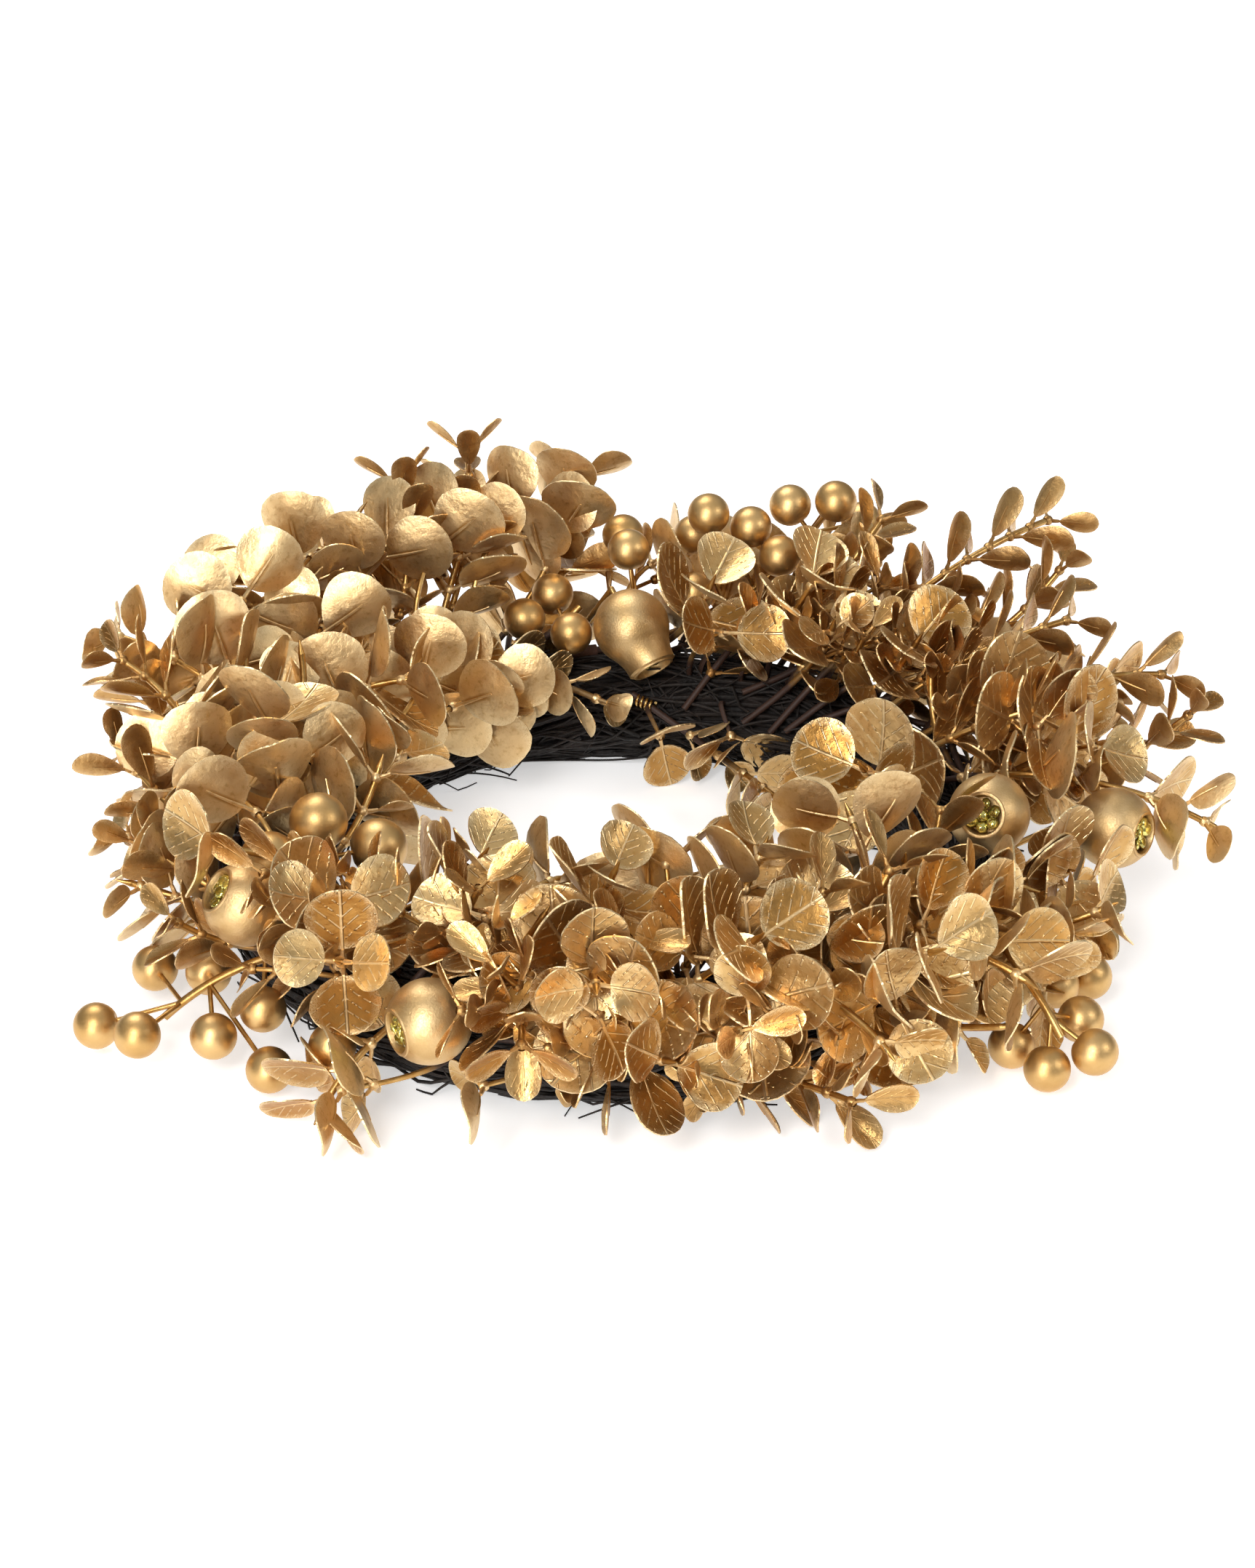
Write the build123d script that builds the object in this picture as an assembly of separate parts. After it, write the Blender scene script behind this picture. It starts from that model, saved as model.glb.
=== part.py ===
from build123d import *
from dataclasses import dataclass
import math
import os
import numpy as np

# Candle ring: a wound vine ring dressed with gilded leaf sprays, berry picks and jewelled baubles.
# Millimetres and degrees. Origin on the ring's axis at table level, +Z up, the shown front at -Y.

# Vine ring
RING_RADIUS = 109.5       # ring axis to the middle of the bundle
CORE_RADIUS = 13.3        # bundle of inner twigs
VINE_DIAMETER = 3.2       # outer vine, wound loop beside loop
VINE_LOOPS = 24
VINES = 3                 # wound on one after the other
VINE_SEAT_GAP = 0.6       # core to vine
VINE_END_GAP = 12.0       # from one vine's end to the next one's start
FOOT_DEPTH = 0.5          # flat worn on the underside, where the ring stands

# Stems of the leaf sprays
STEM_DIAMETER = 2.2
STEM_SEAT_GAP = 0.5       # vine to a stem that lies on it
SEAT_RUN = 10.0           # straight length of a stem over its seat
STEM_BEND = 55.0          # usual bend of a stem from its seat to its tip
STEM_ROOM = 0.5           # least room between two stems
BUD_LENGTH = 4.5          # pointed end bud
BUD_TIP_DIAMETER = 0.5

# Leaves, moulded in pairs on a collar that is threaded on the stem
LEAF_THICKNESS = 0.7
COLLAR_LENGTH = 2.8
COLLAR_WALL = 0.6
COLLAR_GAP = 0.15         # stem to collar bore
RIB_BASE_DIAMETER = 1.5
RIB_TIP_DIAMETER = 0.7
RIB_SHARE = 0.85          # of the blade's length
LEAF_GAP = 0.5            # least room from a leaf to anything else
TABLE_GAP = 1.5           # least room from leaves and berries to the table

# Berry picks
BERRY_DIAMETER = 14.5
LARGE_BERRY_DIAMETER = 18.5
STALK_DIAMETER = 1.5
STALK_SOCKET_DEPTH = 4.0
STALK_GAP = 0.15          # stalk to berry socket
PICK_DIAMETER = 2.6
BERRY_STEM_GAP = 2.0      # berry to the stem that carries it, at least
BERRY_ROOM = 0.5          # least room from a berry to anything else
TAPE_WALL = 0.7           # floral tape over the foot of a pick
TAPE_GAP = 0.15

# Jewelled baubles
BAUBLE_DIAMETER = 26.0
WELL_DIAMETER = 12.5      # round mouth that holds the stones
WELL_DEPTH = 6.0
LIP_RADIUS = 1.6
FIG_NECK_DIAMETER = 17.0  # the fig-shaped bauble is drawn out to this neck round its mouth
FIG_LENGTH = 30.0         # from its round back to its mouth
FIG_HOLLOW = 0.6          # how far its flank draws in
FIG_SHOULDER = 35.0       # where its flank leaves the ball, in degrees from its waist
WIRE_DIAMETER = 2.0       # wire that carries a bauble
WIRE_SOCKET_DEPTH = 5.0
WIRE_GAP = 0.15
STONE_DIAMETER = 3.6
STONE_HEIGHT = 1.5
STONE_TABLE_DIAMETER = 2.0
STONE_TILT = 34.0         # outer stones lean out from the middle one
STONE_SIDES = 8
STONE_INSET = 2.0         # wall of the bed to the middle of an outer stone
STONE_STAND = 0.8         # bed to the girdle of an outer stone
OUTER_STONES = 6
BED_HEIGHT = 2.1
BED_GAP = 0.2             # stone bed to the wall of the well

# Wire tie round the foot of the centre spray
TIE_WIRE_DIAMETER = 1.0
TIE_TURNS = 4
TIE_PITCH = 1.6
TIE_GAP = 0.2

# Room for the candle
CANDLE_ROOM_DIAMETER = 104.0

# Sizes that follow from those above
VINE_RADIUS = VINE_DIAMETER / 2
LAY_RADIUS = CORE_RADIUS + VINE_SEAT_GAP + VINE_RADIUS
BUNDLE_RADIUS = LAY_RADIUS + VINE_RADIUS
RING_HEIGHT = BUNDLE_RADIUS - FOOT_DEPTH
STEM_RADIUS = STEM_DIAMETER / 2
BORE_RADIUS = STEM_RADIUS + COLLAR_GAP


@dataclass(frozen=True)
class LeafKind:
    """Outline and stand of one kind of leaf, with its blade lengths from the stem's tip to its foot."""
    lengths: tuple
    width_share: float
    widest_share: float
    fold: float
    petiole: float
    first_node: float
    node_step: float
    node_step_share: float


EUCALYPTUS = LeafKind((11.0, 15.0, 19.0, 22.0, 24.0), 1.0, 0.50, 9.0, 3.0, 4.0, 6.5, 0.26)
BOXWOOD = LeafKind((13.0, 15.5, 17.5), 0.56, 0.62, 11.0, 2.0, 1.8, 6.0, 0.20)


@dataclass(frozen=True)
class Spray:
    """A leafy stem: the angle of its seat round the ring and its tip in ring coordinates."""
    angle: float
    tip: tuple
    spread: float = 62.0   # leaf to stem
    first: int = 0         # size of the leaves at the tip, counted from the smallest
    twist: float = 90.0    # from one leaf pair to the next


def tuft(angle, turn, height, lean, spread=58.0, first=1):
    """Return a short spray that bends up from its foot, lean degrees back, to a tip above the bundle."""
    around = math.radians(turn)
    out = BUNDLE_RADIUS + height
    return Spray(angle - lean, (angle, out * math.cos(around), out * math.sin(around)), spread, first)


# Ring coordinates are the angle round the ring from +X, the reach out from the middle of the bundle
# and the rise above it. Turn 0 is the outer side of the bundle, 90 its top, 180 its inner side.
EUCALYPTUS_SPRAYS = {
    "left_back": [
        Spray(158, (143, 43, 67)), Spray(184, (166, 60, 62)), tuft(160, 65, 44, -16, 56, 2),
        tuft(150, 125, 40, -18, 56, 2), tuft(166, 95, 46, -18, 56, 2)],
    "left": [
        Spray(204, (189, 49, 26)), tuft(180, 62, 44, -18, 56, 2), tuft(170, 138, 36, -16, 56, 3),
        tuft(188, 130, 36, -18, 56, 2), tuft(204, 55, 36, -18, 56, 2), tuft(186, 92, 40, -18, 56, 3),
        tuft(196, 20, 34, -18, 56, 2)],
    "inner_left": [Spray(140, (93, -25, 14), 36, 3, 0.0), Spray(154, (124, -28, 30), 36, 3, 0.0)],
    "back": [
        Spray(116, (95, 49, 66), 58, 1), Spray(136, (125, 62, 26), 62, 1), Spray(112, (99, 50, 28), 62, 1),
        tuft(114, 70, 42, -16, 56, 2), tuft(78, 96, 34, -14, 58, 2), tuft(72, 62, 34, -16, 58, 2)],
    "centre": [Spray(84, (39, -38, -3), 52, 1)],
    "front": [
        tuft(242, 118, 34, 20, 58, 1), tuft(256, 138, 34, 18, 58, 3), tuft(270, 100, 38, 20, 58, 1),
        tuft(284, 138, 36, 18, 58, 3), tuft(298, 105, 38, 20, 58, 1), tuft(268, 50, 36, 20, 58, 1),
        tuft(288, 62, 38, 20, 58, 2), tuft(276, 26, 30, 20, 60, 2), tuft(258, 78, 34, 18, 58, 2)],
    "right_front": [
        tuft(308, 42, 42, 20, 60, 2), tuft(322, 110, 36, 18, 58, 2), tuft(320, 20, 38, 18, 60, 2),
        tuft(334, 40, 24, 18, 58, 2), tuft(310, 140, 32, 18, 58, 2), tuft(326, 138, 26, 18, 58, 2),
        tuft(300, 18, 36, 18, 60, 1), tuft(317, 78, 32, -16, 58, 2), tuft(328, 4, 32, -16, 60, 1),
        tuft(343, 30, 26, -16, 58, 2)],
    "right_low": [
        Spray(298, (315, 54, 10), 60, 1), Spray(321, (336, 54, 19), 60, 1), Spray(333, (347, 42, 6), 58, 1)],
    "front_left": [
        Spray(258, (234, 54, -5), 60, 1), tuft(228, 70, 26, 18, 58, 2), tuft(236, 45, 34, 18, 58, 1)],
    "far_right": [
        Spray(12, (359, 83, 15)), tuft(30, 84, 34, -16, 58, 2), tuft(2, 132, 28, -18, 58, 2),
        Spray(30, (16, 56, 14), 60, 1)],
    "back_right": [
        Spray(84, (72, 62, 30), 60, 1), Spray(64, (51, 62, 18), 60, 1), tuft(54, 85, 40, -18, 56, 2),
        tuft(44, 100, 34, -16, 56, 1), Spray(46, (31, 60, 14), 60, 1)],
}
BOXWOOD_SPRAYS = {
    "left": [Spray(186, (175, 49, 67), 48), Spray(214, (203, 44, 22), 48), Spray(172, (160, 46, 40), 48)],
    "back_left": [
        Spray(146, (132, 30, 66), 48), Spray(136, (120, 39, 76), 48), Spray(124, (109, 49, 78), 48),
        Spray(148, (136, 60, 24), 48)],
    "right_back": [
        Spray(54, (41, 88, 61), 48), Spray(44, (32, 78, 52), 48), Spray(74, (61, 66, 48), 48),
        Spray(66, (53, 42, 66), 48), Spray(52, (38, -4, 50), 48), Spray(50, (36, 60, 36), 48),
        tuft(46, 70, 40, -16, 48)],
    "right": [
        Spray(26, (14, 76, 45), 48), Spray(20, (8, 81, 37), 48), Spray(38, (24, 55, 54), 48),
        Spray(10, (28, 4, 44), 48), Spray(36, (20, 62, 30), 48), Spray(2, (18, 12, 40), 48),
        tuft(8, 60, 36, -16, 48)],
    "front": [
        tuft(262, 30, 34, 18, 48), tuft(284, 34, 34, 18, 48), tuft(250, 92, 32, 16, 48),
        tuft(296, 2, 34, 18, 48), tuft(302, 80, 32, 16, 48), tuft(272, 74, 30, 16, 48),
        tuft(312, 78, 32, 16, 48), tuft(324, 52, 30, 16, 48), tuft(338, 92, 24, 16, 48)],
    "front_left": [
        tuft(220, 60, 34, -16, 48), tuft(236, 128, 30, 18, 48), tuft(252, 55, 34, -16, 48)],
}


@dataclass(frozen=True)
class Pick:
    """A berry pick: the angle of its seat, and its tip and berries in ring coordinates."""
    angle: float
    tip: tuple
    berries: tuple
    diameter: float = BERRY_DIAMETER


PICKS = {
    "left_low": Pick(238, (212, 53, -5), (
        (209, 72, -7), (215, 67, -2), (203, 46, -3), (209, 34, 1),
        (220, 49, -2), (222, 34, 4), (227, 43, -8), (235, 37, 6))),
    "right_low": Pick(336, (322, 62, 0), (
        (332, 45, -2), (337, 51, -5), (327, 60, -2), (323, 72, -3), (320, 62, -8), (321, 46, -9))),
    "back_left": Pick(116, (94, 8, 34), ((106, 3, 33), (98, -6, 31), (100, 14, 36))),
    "back_right": Pick(96, (62, 42, 60), (
        (89, 31, 50), (88, 15, 52), (79, 33, 50), (76, 22, 64), (71, 27, 57),
        (67, 25, 54), (66, 38, 64), (60, 40, 67), (77, 9, 40), (59, 56, 54))),
    "left_top": Pick(194, (208, -12, 26), (
        (205, 7, 29), (208, -26, 28), (204, -9, 36)), LARGE_BERRY_DIAMETER),
}


@dataclass(frozen=True)
class Bauble:
    """A jewelled bauble: its middle in ring coordinates, the way its mouth faces and its wire's seat."""
    middle: tuple
    facing: tuple
    angle: float
    turn: float
    fig: bool = False


BAUBLES = {
    "front_left": Bauble((247, 30, 20), (-0.85, -0.50, -0.05), 249, 20),
    "left": Bauble((214, 26, 29), (-0.75, -0.25, 0.60), 213, 45),
    "right": Bauble((348, 11, 32), (-0.30, -0.85, 0.45), 355, 50),
    "far_right": Bauble((356, 50, 19), (0.80, -0.55, 0.10), 355, 35),
    "back": Bauble((87, -8, 34), (0.45, -0.60, -0.66), 99, 40, True),
}

TIED_SPRAY = "centre"

# How pieces find their room
TUBE_STEP = 1.5            # between the points that stand for a tube
OUTLINE_STEPS = 4          # points on each arc of a leaf's outline
ROLL_TRIES = (0, 18, -18, 36, -36, 54, -54, 72, -72, 90)
SHIFT_TRIES = (0, 2, -2, 4, -4, 6, -6, 8, -8, 10, -10)
SEAT_TURNS = range(10, 171, 5)
SEAT_CHOICES = 8           # the seats that bend a stem best
ROOM_SLACK = 0.05          # for the sampling of tubes
SETTLE_STEPS = 60


def unit(vector):
    """Return a vector at length one."""
    return vector / np.linalg.norm(vector)


def ring_point(angle, reach, rise):
    """Return the point at ring coordinates."""
    turn = math.radians(angle)
    span = RING_RADIUS + reach
    return np.array([span * math.cos(turn), span * math.sin(turn), RING_HEIGHT + rise])


def seat_point(angle, turn, lift):
    """Return a point that lies lift above the bundle, and the bundle's outward normal there."""
    around = math.radians(turn)
    out = BUNDLE_RADIUS + lift
    point = ring_point(angle, out * math.cos(around), out * math.sin(around))
    return point, unit(point - ring_point(angle, 0, 0))


class Stem:
    """A wire stem: a straight run over its seat, then one tangent arc to its tip."""

    def __init__(self, angle, turn, tip, diameter, sleeve):
        self.radius = diameter / 2
        self.seat, normal = seat_point(angle, turn, STEM_SEAT_GAP + sleeve + self.radius)
        end = ring_point(*tip)
        chord = end - self.seat
        self.heading = unit(chord - normal * (chord @ normal))
        self.foot = self.seat - self.heading * SEAT_RUN / 2
        self.bend = self.seat + self.heading * SEAT_RUN / 2
        self.tip = end
        reach = end - self.bend
        side = reach - self.heading * (reach @ self.heading)
        self.side = unit(side)
        self.arc_radius = (reach @ reach) / (2 * np.linalg.norm(side))
        self.sweep = 2 * math.atan2(np.linalg.norm(side), reach @ self.heading)
        self.length = SEAT_RUN + self.arc_radius * self.sweep

    def at(self, distance):
        """Return the point and the direction at a distance from the foot."""
        if distance <= SEAT_RUN:
            return self.foot + self.heading * distance, self.heading
        turn = (distance - SEAT_RUN) / self.arc_radius
        middle = self.bend + self.side * self.arc_radius
        point = middle + self.arc_radius * (self.heading * math.sin(turn) - self.side * math.cos(turn))
        return point, self.heading * math.cos(turn) + self.side * math.sin(turn)

    def points(self):
        """Return points along the stem for the clearance tests."""
        count = max(2, math.ceil(self.length / TUBE_STEP))
        return np.array([self.at(self.length * step / count)[0] for step in range(count + 1)])

    def solid(self, bud):
        """Return the stem as a swept tube, with a pointed bud where asked."""
        run = Edge.make_line(tuple(self.foot), tuple(self.bend))
        arc = Edge.make_tangent_arc(tuple(self.bend), tuple(self.heading), tuple(self.tip))
        section = Plane(origin=tuple(self.foot), z_dir=tuple(self.heading)) * Circle(self.radius)
        tube = sweep(section, path=Wire([run, arc]))
        if not bud:
            return tube.solid()
        point, heading = self.at(self.length)
        plane = Plane(origin=tuple(point), z_dir=tuple(heading))
        return (tube + Solid.make_cone(self.radius, BUD_TIP_DIAMETER / 2, BUD_LENGTH, plane)).solid()


def rod(start, end, diameter):
    """Return a straight round rod between two points."""
    axis = end - start
    plane = Plane(origin=tuple(start), z_dir=tuple(axis))
    return Solid.make_cylinder(diameter / 2, float(np.linalg.norm(axis)), plane)


def rod_points(start, end):
    """Return points along a rod for the clearance tests."""
    count = max(2, math.ceil(np.linalg.norm(end - start) / TUBE_STEP))
    return np.array([start + (end - start) * step / count for step in range(count + 1)])


class LeafPair:
    """Two opposite leaves on one collar. The stem runs along Z to its tip, the leaves lie at +X and -X."""

    def __init__(self, kind, length, spread_angle):
        self.kind = kind
        self.length = length
        self.half_width = kind.width_share * length / 2
        self.widest = kind.widest_share * length
        self.collar_radius = BORE_RADIUS + COLLAR_WALL
        self.blade_start = self.collar_radius + kind.petiole
        spread = math.radians(spread_angle)
        self.out = np.array([math.sin(spread), 0.0, math.cos(spread)])
        self.face = np.array([-math.cos(spread), 0.0, math.sin(spread)])
        self.plates = self.outline_plates()
        self.made = None

    def solid(self):
        """Return the pair's solid, built the first time it is asked for."""
        if self.made is None:
            self.made = self.build()
        return self.made

    def rim_point(self, share):
        """Return a point of the half outline, from base (0) over the widest point (1) to the tip (2)."""
        run = self.widest if share <= 1 else self.length - self.widest
        radius = (run * run + self.half_width ** 2) / (2 * self.half_width)
        full = 2 * math.atan2(self.half_width, run)
        turn = full * (1 - share)
        return self.widest - radius * math.sin(turn), self.half_width - radius * (1 - math.cos(turn))

    def build(self):
        """Return the pair as one solid: collar, ribs and folded blades, with the bore cut last."""
        rim = [(*self.rim_point(share), 0) for share in (0, 0.5, 1, 1.5, 2)]
        base_arc = Edge.make_three_point_arc(rim[0], rim[1], rim[2])
        tip_arc = Edge.make_three_point_arc(rim[2], rim[3], rim[4])
        outline = Face(Wire([base_arc, tip_arc, Edge.make_line(rim[4], rim[0])]))
        plate = Rot(X=self.kind.fold) * extrude(outline, LEAF_THICKNESS, dir=(0, 0, 1))
        half = split(plate, Plane.ZX, Keep.TOP)
        rib_plane = Plane(origin=(-self.kind.petiole, 0, LEAF_THICKNESS / 2), z_dir=(1, 0, 0))
        rib_length = self.kind.petiole + RIB_SHARE * self.length
        rib = Solid.make_cone(RIB_BASE_DIAMETER / 2, RIB_TIP_DIAMETER / 2, rib_length, rib_plane)
        leaf = half + mirror(half, Plane.XZ) + rib
        start = tuple(self.out * self.blade_start)
        leaf = Plane(origin=start, x_dir=tuple(self.out), z_dir=tuple(self.face)).location * leaf
        collar = Solid.make_cylinder(self.collar_radius, COLLAR_LENGTH, Plane((0, 0, -COLLAR_LENGTH / 2)))
        bore_length = 4 * COLLAR_LENGTH
        bore = Solid.make_cylinder(BORE_RADIUS, bore_length, Plane((0, 0, -bore_length / 2)))
        return (collar + leaf + Rot(Z=180) * leaf - bore).solid()

    def outline_plates(self):
        """Return the four half blades with their petioles as flat convex outlines."""
        fold = math.radians(self.kind.fold)
        rise = np.array([0.0, 0.0, LEAF_THICKNESS / 2])
        plates = []
        for flip in (1, -1):
            for side in (1, -1):
                points = []
                steps = range(OUTLINE_STEPS // 2, 2 * OUTLINE_STEPS + 1)
                rim = [self.rim_point(step / OUTLINE_STEPS) for step in steps]
                for along, across in [(-self.kind.petiole, 0.0)] + rim:
                    lift = across * math.sin(fold)
                    reach = self.out * (self.blade_start + along) + self.face * (lift + rise[2])
                    point = reach + np.array([0.0, side * across * math.cos(fold), 0.0])
                    points.append(point * np.array([flip, flip, 1.0]))
                plates.append(np.array(points))
        return plates


def plate_normal(plate):
    """Return the unit normal of a flat outline."""
    middle = len(plate) // 2
    return unit(np.cross(plate[middle] - plate[0], plate[-1] - plate[0]))


def plate_gap(first, second):
    """Return the widest gap between two flat convex outlines over the directions that can part them."""
    edges_a = np.roll(first, -1, axis=0) - first
    edges_b = np.roll(second, -1, axis=0) - second
    normal_a = plate_normal(first)
    normal_b = plate_normal(second)
    crossed = np.cross(edges_a[:, None, :], edges_b[None, :, :]).reshape(-1, 3)
    axes = np.vstack([crossed, np.cross(edges_a, normal_a), np.cross(edges_b, normal_b), normal_a, normal_b])
    sizes = np.linalg.norm(axes, axis=1)
    axes = axes[sizes > 1e-6] / sizes[sizes > 1e-6, None]
    shadow_a = axes @ first.T
    shadow_b = axes @ second.T
    ahead = shadow_b.min(axis=1) - shadow_a.max(axis=1)
    behind = shadow_a.min(axis=1) - shadow_b.max(axis=1)
    return float(np.maximum(ahead, behind).max())


def point_gaps(plate, points):
    """Return how far points lie from a flat convex outline, at least."""
    normal = plate_normal(plate)
    edges = np.roll(plate, -1, axis=0) - plate
    outward = np.cross(edges, normal)
    outward /= np.linalg.norm(outward, axis=1)[:, None]
    if ((plate.mean(axis=0) - plate) * outward).sum(axis=1).mean() > 0:
        outward = -outward
    height = (points - plate[0]) @ normal
    beyond = (points[:, None, :] - plate[None, :, :]) * outward[None, :, :]
    outside = np.maximum(beyond.sum(axis=2).max(axis=1), 0)
    return np.hypot(height, outside)


class Room:
    """What has its place already, and the test that keeps a new leaf pair clear of it."""

    def __init__(self):
        self.plates = []
        self.plate_spheres = np.empty((0, 4))
        self.balls = np.empty((0, 4))
        self.tube_points = np.empty((0, 4))
        self.tube_owners = []

    def add_tube(self, owner, points, radius):
        """Take up the room of a stem, stalk or wire."""
        rows = np.column_stack([points, np.full(len(points), radius)])
        self.tube_points = np.vstack([self.tube_points, rows])
        self.tube_owners += [owner] * len(points)

    def add_ball(self, middle, radius):
        """Take up the room of a berry or bauble."""
        self.balls = np.vstack([self.balls, [*middle, radius]])

    def add_pair(self, plates):
        """Take up the room of a placed leaf pair."""
        for plate in plates:
            middle, size = outline_sphere(plate)
            self.plates.append(plate)
            self.plate_spheres = np.vstack([self.plate_spheres, [*middle, size]])

    def settle(self, middle, radius, stem):
        """Return a berry's middle, pushed off whatever lies too near it."""
        for _ in range(SETTLE_STEPS):
            tubes = self.tube_points.copy()
            tubes[[owner is stem for owner in self.tube_owners], 3] += BERRY_STEM_GAP - BERRY_ROOM
            taken = np.vstack([self.balls, tubes, bundle_sphere(middle)])
            off = middle - taken[:, :3]
            apart = np.linalg.norm(off, axis=1)
            lack = radius + BERRY_ROOM + taken[:, 3] - apart
            worst = lack.argmax()
            rise = radius + TABLE_GAP - middle[2]
            if max(lack[worst], rise) <= 0:
                return middle
            middle = middle + max(lack[worst], 0) * off[worst] / apart[worst]
            middle = middle + np.array([0, 0, max(rise, 0)])
        return middle

    def tube_room(self, points, radius):
        """Return the least room from a tube to all that has its place, the bundle and the table."""
        gaps = [points[:, 2].min() - radius]
        across = np.hypot(points[:, 0], points[:, 1]) - RING_RADIUS
        gaps.append(np.hypot(across, points[:, 2] - RING_HEIGHT).min() - BUNDLE_RADIUS - radius)
        taken = np.vstack([self.balls, self.tube_points])
        apart = np.linalg.norm(points[:, None, :] - taken[None, :, :3], axis=2) - taken[None, :, 3]
        return min(*gaps, apart.min() - radius if len(taken) else math.inf)

    def find_stem(self, angle, tip, diameter, sleeve):
        """Return a stem to a tip, seated and moved round the ring so that it bends well and has room."""
        best = None
        for shift in SHIFT_TRIES:
            end = (tip[0] + shift, tip[1], tip[2])
            stems = [Stem(angle + shift, turn, end, diameter, sleeve) for turn in SEAT_TURNS]
            stems.sort(key=lambda stem: abs(math.degrees(stem.sweep) - STEM_BEND))
            for stem in stems[:SEAT_CHOICES]:
                room = self.tube_room(stem.points(), stem.radius)
                if best is None or room > best[0]:
                    best = (room, stem)
                if room >= min(STEM_ROOM, STEM_SEAT_GAP) - ROOM_SLACK:
                    return stem
        return best[1]

    def near_ring(self, plate):
        """Say whether an outline comes too near the bundle, the table or the candle's room."""
        middle = plate.mean(axis=0)
        points = np.vstack([plate, (plate + middle) / 2, middle])
        across = np.hypot(points[:, 0], points[:, 1])
        depth = np.hypot(across - RING_RADIUS, points[:, 2] - RING_HEIGHT)
        low = points[:, 2].min() < TABLE_GAP
        return low or depth.min() < BUNDLE_RADIUS + 2 * LEAF_GAP or across.min() < CANDLE_ROOM_DIAMETER / 2

    def clear(self, owner, plates):
        """Say whether a leaf pair of a stem keeps its room from everything placed so far."""
        return all(self.plate_clear(owner, plate) for plate in plates)

    def plate_clear(self, owner, plate):
        """Say whether one half blade keeps its room."""
        if self.near_ring(plate):
            return False
        room = LEAF_THICKNESS + LEAF_GAP
        middle, size = outline_sphere(plate)
        balls = nearby(self.balls, middle, size + room)
        for ball in self.balls[balls]:
            if point_gaps(plate, ball[None, :3])[0] < ball[3] + room:
                return False
        close = nearby(self.tube_points, middle, size + 2 * room)
        close = [row for row in close if self.tube_owners[row] is not owner]
        if close:
            tubes = self.tube_points[close]
            if (point_gaps(plate, tubes[:, :3]) - tubes[:, 3]).min() < room + LEAF_GAP:
                return False
        others = nearby(self.plate_spheres, middle, size + room)
        return all(plate_gap(plate, self.plates[row]) >= room for row in others)


def bundle_sphere(point):
    """Return the part of the bundle nearest to a point, as a ball."""
    angle = math.degrees(math.atan2(point[1], point[0]))
    return np.array([*ring_point(angle, 0, 0), BUNDLE_RADIUS])


def outline_sphere(plate):
    """Return the middle of an outline and the radius that holds it."""
    middle = plate.mean(axis=0)
    return middle, np.linalg.norm(plate - middle, axis=1).max()


def nearby(spheres, middle, reach):
    """Return the rows of spheres that come within reach of a point."""
    apart = np.linalg.norm(spheres[:, :3] - middle, axis=1)
    return np.nonzero(apart < spheres[:, 3] + reach)[0]


def stem_frame(stem, distance, roll):
    """Return the place of a leaf pair on a stem: its origin and its three directions."""
    point, heading = stem.at(distance)
    level = np.cross(heading, np.array([0.0, 0.0, 1.0]))
    across = unit(level)
    upright = np.cross(heading, across)
    turn = math.radians(roll)
    side = across * math.cos(turn) + upright * math.sin(turn)
    return point, side, np.cross(heading, side), heading


def dress_stem(stem, kind, pairs, spray, room):
    """Return the leaf pairs of one stem and their places, each turned or smaller until it has room."""
    placed = []
    distance = stem.length - kind.first_node
    node = 0
    while distance > SEAT_RUN:
        size = min(node + spray.first, len(pairs) - 1)
        fitted = fit_pair(stem, distance, pairs[:size + 1], spray.twist * node, room)
        if fitted is not None:
            placed.append(fitted)
        distance -= kind.node_step + kind.node_step_share * pairs[size].length
        node += 1
    return placed


def fit_pair(stem, distance, pairs, roll, room):
    """Return the largest pair that has room at a spot on a stem and its place, or None."""
    for pair in reversed(pairs):
        for offset in ROLL_TRIES:
            point, side, third, heading = stem_frame(stem, distance, roll + offset)
            turn = np.array([side, third, heading])
            plates = [plate @ turn + point for plate in pair.plates]
            if room.clear(stem, plates):
                room.add_pair(plates)
                return pair, Plane(origin=tuple(point), x_dir=tuple(side), z_dir=tuple(heading)).location
    return None


def vine_point(loops):
    """Return the place on the vine's centre line after a number of loops round the ring."""
    turn = 360 * loops * (1 + 1 / VINE_LOOPS)
    angle = 360 * loops
    around = math.radians(turn)
    return ring_point(angle, LAY_RADIUS * math.cos(around), LAY_RADIUS * math.sin(around))


def arc_chain(place, stops):
    """Return tangent arcs, two between each pair of stops, along a curve given by a function."""
    step = 1e-5
    edges = []
    for start, end in zip(stops, stops[1:]):
        first = place(start)
        last = place(end)
        out = unit(place(start + step) - place(start - step))
        into = unit(place(end + step) - place(end - step))
        chord = last - first
        along = chord @ (out + into)
        spread = 2 * (1 - out @ into)
        reach = (math.sqrt(along * along + spread * (chord @ chord)) - along) / spread
        joint = (first + last + reach * (out - into)) / 2
        edges.append(Edge.make_tangent_arc(tuple(first), tuple(out), tuple(joint)))
        edges.append(Edge.make_tangent_arc(tuple(joint), tuple(edges[-1] % 1), tuple(last)))
    return edges


def self_gap(edges, diameter, skip):
    """Return the least gap of a wound tube to itself, leaving out what lies within skip along it."""
    points = []
    travelled = []
    start = 0.0
    for edge in edges:
        count = max(2, math.ceil(edge.length / diameter))
        for step in range(count):
            points.append(tuple(edge @ (step / count)))
            travelled.append(start + edge.length * step / count)
        start += edge.length
    points = np.array(points)
    travelled = np.array(travelled)
    least = math.inf
    for point, distance in zip(points, travelled):
        others = points[np.abs(travelled - distance) > skip]
        least = min(least, np.linalg.norm(others - point, axis=1).min())
    return least - diameter


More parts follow.
